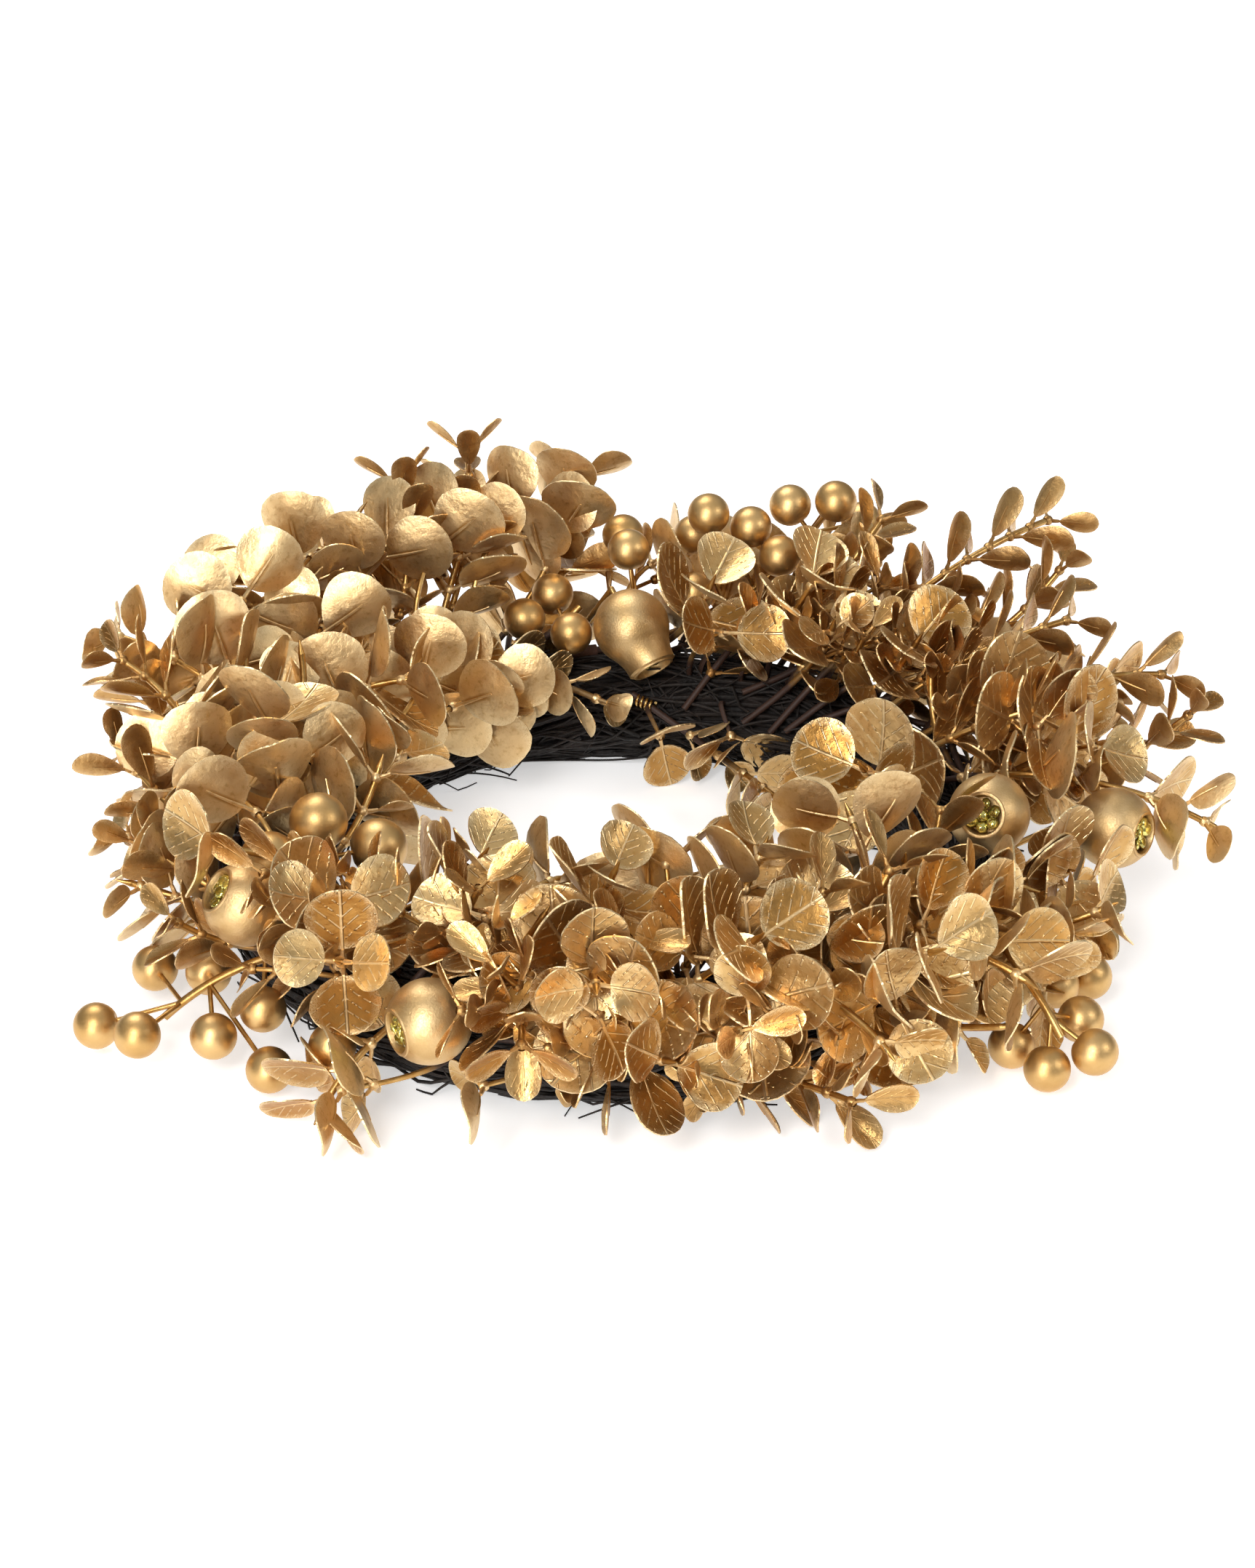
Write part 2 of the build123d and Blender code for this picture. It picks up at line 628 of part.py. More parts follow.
def wound_tube(place, stops, diameter, skip, name):
    """Return one unbroken tube wound along a curve, and print its least gap to itself."""
    edges = arc_chain(place, stops)
    gap = self_gap(edges, diameter, skip)
    print(f"{name}: least gap to itself {gap:.2f} mm")
    section = Plane(origin=edges[0] @ 0, z_dir=edges[0] % 0) * Circle(diameter / 2)
    return sweep(section, path=Wire(edges))


def make_vines():
    """Return the vines, each one unbroken tube, cut flat underneath where the ring stands."""
    run = VINE_LOOPS // VINES
    end_gap = VINE_END_GAP / (2 * math.pi * RING_RADIUS)
    side = 3 * (RING_RADIUS + BUNDLE_RADIUS)
    table = Pos(0, 0, -BUNDLE_RADIUS / 2) * Box(side, side, BUNDLE_RADIUS)
    vines = []
    for first in range(0, VINE_LOOPS, run):
        stops = [first + quarter / 4 for quarter in range(4 * run)] + [first + run - end_gap]
        vine = wound_tube(vine_point, stops, VINE_DIAMETER, 4 * VINE_DIAMETER, "vine_winding")
        vines.append(max((vine - table).solids(), key=lambda solid: solid.volume))
    whole = arc_chain(vine_point, [quarter / 4 for quarter in range(4 * VINE_LOOPS)])
    print(f"vine_winding: least gap between vines {self_gap(whole, VINE_DIAMETER, 4 * VINE_DIAMETER):.2f} mm")
    return vines


def make_core():
    """Return the bundle of inner twigs."""
    return Pos(0, 0, RING_HEIGHT) * Torus(RING_RADIUS, CORE_RADIUS)


def make_tie(stem):
    """Return the wire wound round the foot of a stem."""
    coil = STEM_RADIUS + TIE_GAP + TIE_WIRE_DIAMETER / 2
    across = unit(np.cross(stem.heading, np.array([0.0, 0.0, 1.0])))
    upright = np.cross(stem.heading, across)
    start = stem.bend - stem.heading * (TIE_WIRE_DIAMETER + TIE_TURNS * TIE_PITCH)

    def place(turns):
        angle = 2 * math.pi * turns
        round_stem = across * math.cos(angle) + upright * math.sin(angle)
        return start + round_stem * coil + stem.heading * TIE_PITCH * turns

    stops = [quarter / 4 for quarter in range(4 * TIE_TURNS + 1)]
    return wound_tube(place, stops, TIE_WIRE_DIAMETER, 2 * coil, "tie_wire").solid()


def make_berry(diameter):
    """Return a berry, turned from one outline, whose stalk socket opens at +Z."""
    radius = diameter / 2
    bore = STALK_DIAMETER / 2 + STALK_GAP
    mouth = (bore, 0, math.sqrt(radius ** 2 - bore ** 2))
    floor = radius - STALK_SOCKET_DEPTH
    ball = Edge.make_three_point_arc((0, 0, -radius), (radius, 0, 0), mouth)
    wall = Edge.make_line(mouth, (bore, 0, floor))
    end = Edge.make_line((bore, 0, floor), (0, 0, floor))
    axis = Edge.make_line((0, 0, floor), (0, 0, -radius))
    return revolve(Face(Wire([ball, wall, end, axis])), Axis.Z).solid()


class BerryPick:
    """A pick in its place: its stem, and the middle, stalk's heading, root and end of each berry."""

    def __init__(self, pick, room):
        self.diameter = pick.diameter
        self.stem = room.find_stem(pick.angle, pick.tip, PICK_DIAMETER, TAPE_GAP + TAPE_WALL)
        self.berries = []
        room.add_tube(self.stem, self.stem.points(), self.stem.radius)
        spots = np.arange(SEAT_RUN, self.stem.length - STALK_DIAMETER, TUBE_STEP)
        for berry in pick.berries:
            middle = room.settle(ring_point(*berry), self.diameter / 2, self.stem)
            root, end = self.free_stalk(middle, spots, room)
            self.berries.append((middle, unit(root - middle), root, end))
            room.add_ball(middle, self.diameter / 2)
            room.add_tube(self.stem, rod_points(root, end), STALK_DIAMETER / 2)

    def free_stalk(self, middle, spots, room):
        """Return the two ends of a berry's stalk, from the nearest spot on the stem that leaves it free."""
        wish = min(spots, key=lambda spot: np.linalg.norm(self.stem.at(spot)[0] - middle)) - self.diameter / 3
        stalks = []
        for spot in sorted(spots, key=lambda spot: abs(spot - wish)):
            root = self.stem.at(spot)[0]
            end = middle + unit(root - middle) * (self.diameter / 2 - STALK_SOCKET_DEPTH + STALK_GAP)
            points = rod_points(root, end)
            apart = np.linalg.norm(points[:, None, :] - room.balls[None, :, :3], axis=2)
            gaps = apart - room.balls[None, :, 3] - STALK_DIAMETER / 2
            stalks.append((gaps.min(), root, end))
            if stalks[-1][0] >= BERRY_ROOM:
                return root, end
        return max(stalks, key=lambda stalk: stalk[0])[1:]

    def wood(self):
        """Return the stem with its stalks."""
        stalks = [rod(root, end, STALK_DIAMETER) for _, _, root, end in self.berries]
        return self.stem.solid(False).fuse(*stalks).solid()

    def fruit(self):
        """Return the berries."""
        berry = make_berry(self.diameter)
        places = [Plane(origin=tuple(middle), z_dir=tuple(heading)) for middle, heading, _, _ in self.berries]
        return [place.location * berry for place in places]

    def tape(self):
        """Return the sleeve of tape over the foot of the stem."""
        start = self.stem.at(0)[0]
        end = self.stem.at(SEAT_RUN)[0]
        inner = PICK_DIAMETER + 2 * TAPE_GAP
        return (rod(start, end, inner + 2 * TAPE_WALL) - rod(start, end, inner)).solid()


def fig_lip():
    """Return the radius of the round lip on the fig-shaped bauble's neck."""
    return (FIG_NECK_DIAMETER - WELL_DIAMETER) / 4


def well_floor(fig):
    """Return the height of the well's floor above the middle of a bauble."""
    radius = BAUBLE_DIAMETER / 2
    if fig:
        return FIG_LENGTH - radius - fig_lip() - WELL_DEPTH
    return math.sqrt(radius ** 2 - (WELL_DIAMETER / 2) ** 2) - WELL_DEPTH


def bauble_body(fig):
    """Return a bauble whose mouth faces +Z, with its stone well and the socket of its wire."""
    upward = (Align.CENTER, Align.CENTER, Align.MIN)
    body = fig_body() if fig else ball_body(upward)
    socket = Cylinder(WIRE_DIAMETER / 2 + WIRE_GAP, WIRE_SOCKET_DEPTH + WIRE_DIAMETER, align=upward)
    return (body - Pos(0, 0, -BAUBLE_DIAMETER / 2 - WIRE_DIAMETER) * socket).solid()


def ball_body(upward):
    """Return a round bauble with its well and the rounded lip of its mouth."""
    well = Pos(0, 0, well_floor(False)) * Cylinder(WELL_DIAMETER / 2, BAUBLE_DIAMETER, align=upward)
    body = Sphere(BAUBLE_DIAMETER / 2) - well
    mouth = body.edges().filter_by(GeomType.CIRCLE).sort_by(Axis.Z)[-1]
    return fillet(mouth, LIP_RADIUS)


def fig_body():
    """Return a ball drawn out to a neck round its mouth, turned with its well from one outline."""
    radius = BAUBLE_DIAMETER / 2
    neck = FIG_NECK_DIAMETER / 2
    well = WELL_DIAMETER / 2
    rim = FIG_LENGTH - radius - fig_lip()
    floor = well_floor(True)
    lean = math.radians(FIG_SHOULDER)
    leave = (radius * math.cos(lean), 0, radius * math.sin(lean))
    hollow = ((leave[0] + neck) / 2 - FIG_HOLLOW, 0, (leave[2] + rim) / 2)
    outline = [
        Edge.make_three_point_arc((0, 0, -radius), (radius * math.cos(lean), 0, -radius * math.sin(lean)), leave),
        Edge.make_three_point_arc(leave, hollow, (neck, 0, rim)),
        Edge.make_three_point_arc((neck, 0, rim), ((neck + well) / 2, 0, rim + fig_lip()), (well, 0, rim)),
        Edge.make_line((well, 0, rim), (well, 0, floor)),
        Edge.make_line((well, 0, floor), (0, 0, floor)),
        Edge.make_line((0, 0, floor), (0, 0, -radius)),
    ]
    return revolve(Face(Wire(outline)), Axis.Z)


def make_stones(fig):
    """Return the bed of stones that fills a well: a domed bed with faceted stones standing out of it."""
    bed_radius = WELL_DIAMETER / 2 - BED_GAP
    base_height = well_floor(fig) + BED_GAP
    upward = (Align.CENTER, Align.CENTER, Align.MIN)
    base = Pos(0, 0, base_height) * Cylinder(bed_radius, BED_HEIGHT, align=upward)
    crown = base_height + BED_HEIGHT
    girdle = RegularPolygon(STONE_DIAMETER / 2, STONE_SIDES)
    table = RegularPolygon(STONE_TABLE_DIAMETER / 2, STONE_SIDES)
    stone = loft([Pos(0, 0, -STONE_HEIGHT) * table, girdle, Pos(0, 0, STONE_HEIGHT / 2) * table], ruled=True)
    cluster = base + Pos(0, 0, crown + STONE_HEIGHT) * stone
    ring = bed_radius - STONE_INSET
    for step in range(OUTER_STONES):
        spin = Rot(Z=360 * step / OUTER_STONES)
        cluster = cluster + spin * Pos(ring, 0, crown + STONE_STAND) * Rot(Y=STONE_TILT) * stone
    return cluster.solid()


class JewelledBauble:
    """A bauble in its place, with its stones and its carrying wire."""

    def __init__(self, bauble, room):
        self.fig = bauble.fig
        back = BAUBLE_DIAMETER / 2
        self.middle = ring_point(*bauble.middle)
        self.facing = unit(np.array(bauble.facing))
        seat, _ = seat_point(bauble.angle, bauble.turn, STEM_SEAT_GAP + WIRE_DIAMETER / 2)
        inside = self.middle - self.facing * (back - WIRE_SOCKET_DEPTH + WIRE_GAP)
        outside = self.middle - self.facing * (back + WIRE_DIAMETER)
        self.route = (inside, outside, seat)
        room.add_ball(self.middle, BAUBLE_DIAMETER / 2)
        if self.fig:
            neck = self.middle + self.facing * (FIG_LENGTH - back - FIG_NECK_DIAMETER / 3)
            room.add_ball(neck, FIG_NECK_DIAMETER * 0.6)
        points = np.vstack([rod_points(inside, outside), rod_points(outside, seat)])
        room.add_tube(self, points, WIRE_DIAMETER / 2)

    def place(self):
        """Return where the bauble stands."""
        return Plane(origin=tuple(self.middle), z_dir=tuple(self.facing)).location

    def body(self):
        """Return the bauble."""
        return self.place() * bauble_body(self.fig)

    def stones(self):
        """Return the stones in their bed."""
        return self.place() * make_stones(self.fig)

    def wire(self):
        """Return the wire, bent once behind the bauble."""
        inside, outside, seat = self.route
        bend = Pos(*outside) * Sphere(WIRE_DIAMETER / 2)
        end = Pos(*seat) * Sphere(WIRE_DIAMETER / 2)
        return rod(inside, outside, WIRE_DIAMETER).fuse(bend, rod(outside, seat, WIRE_DIAMETER), end).solid()


def write_node(name, solids):
    """Write the solids of one node to its own file."""
    shape = solids[0] if len(solids) == 1 else Compound(children=list(solids))
    shape.label = name
    export_step(shape, f"parts/{name}.step")


class Dressing:
    """Everything that dresses the ring, put in its place with room to spare."""

    def __init__(self):
        self.room = Room()
        self.baubles = {name: JewelledBauble(bauble, self.room) for name, bauble in BAUBLES.items()}
        self.picks = {name: BerryPick(pick, self.room) for name, pick in PICKS.items()}
        self.stems = {}
        self.leaves = {}
        self.pairs = {}
        tables = (("eucalyptus", EUCALYPTUS, EUCALYPTUS_SPRAYS), ("boxwood", BOXWOOD, BOXWOOD_SPRAYS))
        for kind_name, _, groups in tables:
            for group, sprays in groups.items():
                sleeve = TIE_GAP + TIE_WIRE_DIAMETER if group == TIED_SPRAY else 0.0
                self.stems[kind_name, group] = [self.add_stem(spray, sleeve) for spray in sprays]
        for kind_name, kind, groups in tables:
            for group, sprays in groups.items():
                dressed = zip(self.stems[kind_name, group], sprays)
                self.leaves[kind_name, group] = [
                    leaf for stem, spray in dressed
                    for leaf in dress_stem(stem, kind, self.leaf_pairs(kind, spray.spread), spray, self.room)]

    def add_stem(self, spray, sleeve):
        """Return a spray's stem, with its room taken up."""
        stem = self.room.find_stem(spray.angle, spray.tip, STEM_DIAMETER, sleeve)
        self.room.add_tube(stem, stem.points(), stem.radius)
        return stem

    def leaf_pairs(self, kind, spread):
        """Return the pairs of one kind and spread in all their sizes, made once."""
        if (kind, spread) not in self.pairs:
            self.pairs[kind, spread] = [LeafPair(kind, length, spread) for length in kind.lengths]
        return self.pairs[kind, spread]


def main():
    """Build every piece and write each node."""
    os.makedirs("parts", exist_ok=True)
    dressing = Dressing()
    write_node("twig_core", [make_core()])
    write_node("vine_winding", make_vines())
    for name, bauble in dressing.baubles.items():
        write_node(f"bauble_{name}", [bauble.body()])
        write_node(f"stones_{name}", [bauble.stones()])
    write_node("bauble_wires", [bauble.wire() for bauble in dressing.baubles.values()])
    for name, pick in dressing.picks.items():
        write_node(f"berry_stem_{name}", [pick.wood()])
        write_node(f"berries_{name}", pick.fruit())
    write_node("floral_tape", [pick.tape() for pick in dressing.picks.values()])
    write_node("tie_wire", [make_tie(dressing.stems["eucalyptus", TIED_SPRAY][0])])
    for (kind_name, group), stems in dressing.stems.items():
        write_node(f"{kind_name}_stems_{group}", [stem.solid(kind_name == "eucalyptus") for stem in stems])
    for (kind_name, group), leaves in dressing.leaves.items():
        write_node(f"{kind_name}_leaves_{group}", [place * pair.solid() for pair, place in leaves])
        print(f"{kind_name}_leaves_{group}: {len(leaves)} pairs")


main()
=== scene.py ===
import logging
import math
from dataclasses import dataclass, field
from enum import Enum

import bpy
import numpy as np
from mathutils import Matrix, Vector


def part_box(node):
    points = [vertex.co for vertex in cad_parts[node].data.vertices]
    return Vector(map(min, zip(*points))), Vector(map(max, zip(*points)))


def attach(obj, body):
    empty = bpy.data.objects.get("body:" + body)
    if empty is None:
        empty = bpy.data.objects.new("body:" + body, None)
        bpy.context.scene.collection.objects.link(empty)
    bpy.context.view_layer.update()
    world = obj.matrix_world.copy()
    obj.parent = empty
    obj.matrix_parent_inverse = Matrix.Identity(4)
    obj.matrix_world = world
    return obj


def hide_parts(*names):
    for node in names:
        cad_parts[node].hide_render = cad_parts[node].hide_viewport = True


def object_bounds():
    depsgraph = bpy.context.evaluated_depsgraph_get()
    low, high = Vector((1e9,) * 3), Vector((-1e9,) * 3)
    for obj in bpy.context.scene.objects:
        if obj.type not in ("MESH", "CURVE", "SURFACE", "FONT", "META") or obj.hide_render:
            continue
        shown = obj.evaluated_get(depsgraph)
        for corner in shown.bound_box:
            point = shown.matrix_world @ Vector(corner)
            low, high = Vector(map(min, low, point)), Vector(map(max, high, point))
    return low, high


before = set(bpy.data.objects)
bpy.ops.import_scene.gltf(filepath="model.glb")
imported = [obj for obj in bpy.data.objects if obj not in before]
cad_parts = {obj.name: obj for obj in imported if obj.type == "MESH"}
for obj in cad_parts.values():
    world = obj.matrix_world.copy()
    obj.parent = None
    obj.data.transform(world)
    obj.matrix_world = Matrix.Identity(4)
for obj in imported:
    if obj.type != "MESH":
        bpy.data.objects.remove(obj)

LOG = logging.getLogger("candle_ring")
CAD_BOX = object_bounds()
MM = 0.001
SEED = 41
BODY = "root"
LEAF_UV = "leaf"
LOOK = "look"                            # tone, above and edge values of a vertex
WELD = 1e-6                              # vertices nearer than this are one
BAUBLE_ROOM = 13.3 * MM                  # from a bauble's middle to the nearest leaf
CLEAR_SHARES = (1.0, 0.85, 0.7, 0.55)    # sizes that a leaf near a bauble is tried at
LEAF_SMOOTH = 50.0                       # largest smoothed angles, in degrees
ROUND_SMOOTH = 60.0
LIP_SMOOTH = 35.0
STEM_BOW = 0.42                          # usual rise of a side shoot's stem over its span
ARCHED_BOW = 0.85                        # for shoots that arch over and show their leaves' backs
Colour = tuple[float, float, float]
Point = tuple[float, float, float]


class Ray(Enum):
    """Ray kinds that see the pale backdrop as it is."""

    CAMERA = "Is Camera Ray"
    GLOSSY = "Is Glossy Ray"
    TRANSMISSION = "Is Transmission Ray"


class Slot(Enum):
    """Names of material slots."""

    TWIG = "twig"
    LEAF = "gold_leaf"
    STEM = "gold_stem"
    BERRY = "berry_gold"
    BAUBLE = "bauble_gold"
    STONE = "stone"
    TIE_WIRE = "tie_wire"


class Plant(Enum):
    """The two plants of the dressing."""

    EUCALYPTUS = "eucalyptus"
    BOXWOOD = "boxwood"


class Graph:
    """Builds the node tree of one material."""

    def __init__(self, name: str) -> None:
        """Start a material with a Principled shader.

        Args:
            name: Name of the material.
        """
        self.material = bpy.data.materials.new(name)
        self.material.use_nodes = True
        self.tree = self.material.node_tree
        self.shader = self.tree.nodes["Principled BSDF"]

    def node(self, kind: str, **settings: object) -> bpy.types.Node:
        """Add a node.

        Args:
            kind: Node type, such as ShaderNodeMath.
            settings: Properties to set on the node.

        Returns:
            The new node.
        """
        made = self.tree.nodes.new(kind)
        for key, value in settings.items():
            setattr(made, key, value)
        return made

    def feed(self, socket: bpy.types.NodeSocket, source: object) -> None:
        """Link an output to a socket, or set the socket's own value.

        Args:
            socket: Input socket.
            source: Output socket, number or colour.
        """
        if isinstance(source, bpy.types.NodeSocket):
            self.tree.links.new(source, socket)
        elif isinstance(source, tuple) and len(source) == 3 and socket.type == "RGBA":
            socket.default_value = (*source, 1.0)
        else:
            socket.default_value = source

    def surface(self, **inputs: object) -> None:
        """Set inputs of the shader.

        Args:
            inputs: Socket names with _ for blanks, and their sources.
        """
        for key, source in inputs.items():
            self.feed(self.shader.inputs[key.replace("_", " ")], source)

    def position(self) -> bpy.types.NodeSocket:
        """Return the object coordinates."""
        return self.node("ShaderNodeTexCoord").outputs["Object"]

    def looks(self) -> bpy.types.bpy_prop_collection:
        """Read the look of the surface.

        Returns:
            Its tone, above and edge values.
        """
        parts = self.node("ShaderNodeSeparateColor")
        look = self.node("ShaderNodeAttribute", attribute_name=LOOK)
        self.feed(parts.inputs[0], look.outputs["Color"])
        return parts.outputs

    def split(self, vector: bpy.types.NodeSocket) -> bpy.types.bpy_prop_collection:
        """Split a vector.

        Args:
            vector: The vector.

        Returns:
            Its X, Y and Z.
        """
        parts = self.node("ShaderNodeSeparateXYZ")
        self.feed(parts.inputs[0], vector)
        return parts.outputs

    def product(self, first: object, second: object) -> bpy.types.NodeSocket:
        """Return the product of two values."""
        return self.calc("MULTIPLY", first, second)

    def total(self, first: object, second: object) -> bpy.types.NodeSocket:
        """Return the sum of two values."""
        return self.calc("ADD", first, second)

    def distance(self, first: object, second: object) -> bpy.types.NodeSocket:
        """Return how far apart two values are."""
        return self.calc("ABSOLUTE", self.calc("SUBTRACT", first, second))

    def length(self, first: object, second: object) -> bpy.types.NodeSocket:
        """Return the length of the long side over two short ones."""
        squares = [self.calc("POWER", self.calc("ABSOLUTE", part), 2.0) for part in (first, second)]
        return self.calc("SQRT", self.total(*squares))

    def noise(self, vector: bpy.types.NodeSocket, scale: float, detail: float = 3.0,
              rough: float = 0.55) -> bpy.types.NodeSocket:
        """Add a noise texture.

        Args:
            vector: Coordinates.
            scale: Scale of the noise.
            detail: Number of octaves.
            rough: Strength of the finer octaves.

        Returns:
            The noise value.
        """
        made = self.node("ShaderNodeTexNoise")
        self.feed(made.inputs["Vector"], vector)
        made.inputs["Scale"].default_value = scale
        made.inputs["Detail"].default_value = detail
        made.inputs["Roughness"].default_value = rough
        return made.outputs[0]

    def calc(self, operation: str, first: object, second: object = 0.0) -> bpy.types.NodeSocket:
        """Add a maths node.

        Args:
            operation: Operation of the node.
            first: First operand.
            second: Second operand.

        Returns:
            The result.
        """
        made = self.node("ShaderNodeMath", operation=operation)
        self.feed(made.inputs[0], first)
        self.feed(made.inputs[1], second)
        return made.outputs[0]

    def span(self, value: bpy.types.NodeSocket, low: float, high: float, start: float = 0.0,
             end: float = 1.0) -> bpy.types.NodeSocket:
        """Map a value smoothly from one range to another.

        Args:
            value: Value to map.
            low: Value that gives start.
            high: Value that gives end.
            start: Result at low.
            end: Result at high.

        Returns:
            The mapped value.
        """
        made = self.node("ShaderNodeMapRange", interpolation_type="SMOOTHSTEP")
        self.feed(made.inputs["Value"], value)
        made.inputs["From Min"].default_value = low
        made.inputs["From Max"].default_value = high
        made.inputs["To Min"].default_value = start
        made.inputs["To Max"].default_value = end
        return made.outputs[0]

    def blend(self, share: object, first: object, second: object) -> bpy.types.NodeSocket:
        """Blend two colours.

        Args:
            share: Share of the second colour.
            first: First colour.
            second: Second colour.

        Returns:
            The blended colour.
        """
        made = self.node("ShaderNodeMix", data_type="RGBA")
        self.feed(made.inputs[0], share)
        self.feed(made.inputs[6], first)
        self.feed(made.inputs[7], second)
        return made.outputs[2]

    def relief(self, height: bpy.types.NodeSocket, strength: float, depth: float) -> None:
        """Let a height shape the shader's normal.

        Args:
            height: Height from 0 to 1.
            strength: Strength of the relief.
            depth: Depth in metres.
        """
        made = self.node("ShaderNodeBump")
        made.inputs["Strength"].default_value = strength
        made.inputs["Distance"].default_value = depth
        self.feed(made.inputs["Height"], height)
        self.feed(self.shader.inputs["Normal"], made.outputs["Normal"])


@dataclass(frozen=True)
class GiltLeafFinish:
    """Gold paint on a moulded leaf: embossed veins above, worn and painted bright as a highlight,
    and a painted shadow beside the rib; matte below, with backs in a gold that is partly painted
    light; worn and painted bright as a highlight at the rim.

    Args:
        name: Name of the material.
        light: Gold of the palest faces.
        deep: Gold of the darkest faces, the patina and the painted shadow beside the rib.
        under: Gold of the backs, partly their own paint and partly painted light.
        rim: Gold of the worn rim and the veins, also a painted highlight on both.
        vein_rows: Side veins along a blade.
        vein_slope: How far a side vein leans to the tip.
        vein_share: How strong the veins are.
        roughness: Roughness of the faces.
        dash_scale: Scale of the breaks in the side veins.
        cloud_scale: Scale of the cloudy tone.
        patina_scale: Scale of the patina's spots.
        grain_scale: Scale of the paint's grain.
        cloud_height: Height of the uneven face over the veins' height.
        grain_height: Height of the grain over the veins' height.
        relief_depth: Height of the veins, in metres.
        metallic: How much the paint shines as metal does.
    """

    name: str
    light: Colour
    deep: Colour
    under: Colour
    rim: Colour
    vein_rows: float
    vein_slope: float
    vein_share: float
    roughness: float
    dash_scale: float = 430.0
    cloud_scale: float = 140.0
    patina_scale: float = 420.0
    grain_scale: float = 2600.0
    cloud_height: float = 2.2
    grain_height: float = 0.14
    relief_depth: float = 0.32 * MM
    metallic: float = 0.94

    def veins(self, graph: Graph, along: bpy.types.NodeSocket, aside: bpy.types.NodeSocket,
              tone: bpy.types.NodeSocket) -> bpy.types.NodeSocket:
        """Draw the rib and the broken side veins.

        Args:
            graph: Graph of the material.
            along: Place along the blade, from 0 to 1.
            aside: Distance from the rib, from 0 to 1.
            tone: Tone of the leaf, which shifts its side veins.

        Returns:
            1 on a vein, 0 between veins.
        """
        slant = graph.calc("SUBTRACT", along, graph.product(aside, self.vein_slope))
        rows = graph.product(graph.total(slant, 2.0), self.vein_rows)
        phase = graph.calc("FRACT", graph.total(rows, graph.product(tone, 3.0)))
        dashes = graph.span(graph.noise(graph.position(), self.dash_scale, 1.0), 0.44, 0.52)
        side = graph.product(graph.span(graph.distance(phase, 0.5), 0.05, 0.12, 1.0, 0.0), dashes)
        return graph.calc("MAXIMUM", side, graph.span(aside, 0.015, 0.06, 1.0, 0.0))

    def material(self) -> bpy.types.Material:
        """Build the leaf material.

        Returns:
            The material.
        """
        graph = Graph(self.name)
        tone, above, edge = graph.looks()
        leaf = graph.split(graph.node("ShaderNodeUVMap", uv_map=LEAF_UV).outputs["UV"])
        along = leaf["X"]
        aside = graph.product(graph.distance(leaf["Y"], 0.5), 2.0)
        place = graph.position()
        veins = graph.product(self.veins(graph, along, aside, tone), above)
        veins = graph.product(veins, self.vein_share)
        cloud = graph.noise(place, self.cloud_scale, 4.0)
        specks = graph.noise(place, self.patina_scale, 5.0, 0.65)
        grain = graph.noise(place, self.grain_scale, 2.0)
        shade = graph.total(graph.product(tone, 0.65), graph.product(cloud, 0.35))
        gold = graph.blend(graph.span(shade, 0.15, 0.85), self.light, self.deep)
        # Backs take the under gold: partly their own paint, partly painted light.
        gold = graph.blend(graph.span(above, 0.4, 0.6, 0.7, 0.0), gold, self.under)
        gold = graph.blend(graph.span(specks, 0.5, 0.72, 0.0, 0.55), gold, self.deep)
        # Painted shadow: the upper faces darken beside the rib, from the base to past the middle,
        # standing in for the shade along the crease.
        beside_rib = graph.span(aside, 0.05, 0.13, 1.0, 0.0)
        painted_rib_shadow = graph.product(beside_rib, graph.span(along, 0.4, 0.68, 1.0, 0.0))
        painted_rib_shadow = graph.product(painted_rib_shadow, graph.span(above, 0.4, 0.6, 0.85, 0.0))
        gold = graph.blend(painted_rib_shadow, gold, self.deep)
        # Veins lightened towards the rim gold: worn paint and a painted highlight.
        gold = graph.blend(graph.product(veins, 0.48), gold, self.rim)
        # Rim lightened in grainy patches: worn paint and a painted highlight.
        rim_wear_and_highlight = graph.product(edge, graph.span(grain, 0.3, 0.6, 0.0, 0.75))
        gold = graph.blend(rim_wear_and_highlight, gold, self.rim)
        gloss = graph.total(graph.span(cloud, 0.3, 0.7, -0.06, 0.08), self.roughness)
        gloss = graph.total(gloss, graph.span(above, 0.4, 0.6, 0.08, 0.0))
        height = graph.total(veins, graph.product(grain, self.grain_height))
        height = graph.total(height, graph.product(cloud, self.cloud_height))
        graph.relief(height, 0.9, self.relief_depth)
        graph.surface(Base_Color=gold, Metallic=self.metallic, Roughness=gloss)
        return graph.material


@dataclass(frozen=True)
class SatinGoldFinish:
    """Sprayed gold with a cloudy tone and a fine grain.

    Args:
        name: Name of the material.
        light: Gold of the pale clouds.
        deep: Gold of the dark clouds.
        roughness: Roughness of the paint.
        cloud_scale: Scale of the clouds.
        grain_scale: Scale of the grain.
        grain_depth: Depth of the grain, in metres.
    """

    name: str
    light: Colour
    deep: Colour
    roughness: float
    cloud_scale: float
    grain_scale: float
    grain_depth: float

    def material(self) -> bpy.types.Material:
        """Build the gold material.

        Returns:
            The material.
        """
        graph = Graph(self.name)
        place = graph.position()
        cloud = graph.noise(place, self.cloud_scale, 4.0)
        grain = graph.noise(place, self.grain_scale, 2.0)
        gold = graph.blend(graph.span(cloud, 0.32, 0.68), self.light, self.deep)
        gold = graph.blend(graph.span(grain, 0.55, 0.8, 0.0, 0.35), gold, self.light)
        gloss = graph.total(graph.span(grain, 0.3, 0.7, -0.05, 0.07), self.roughness)
        graph.relief(grain, 0.6, self.grain_depth)
        graph.surface(Base_Color=gold, Metallic=1.0, Roughness=gloss)
        return graph.material


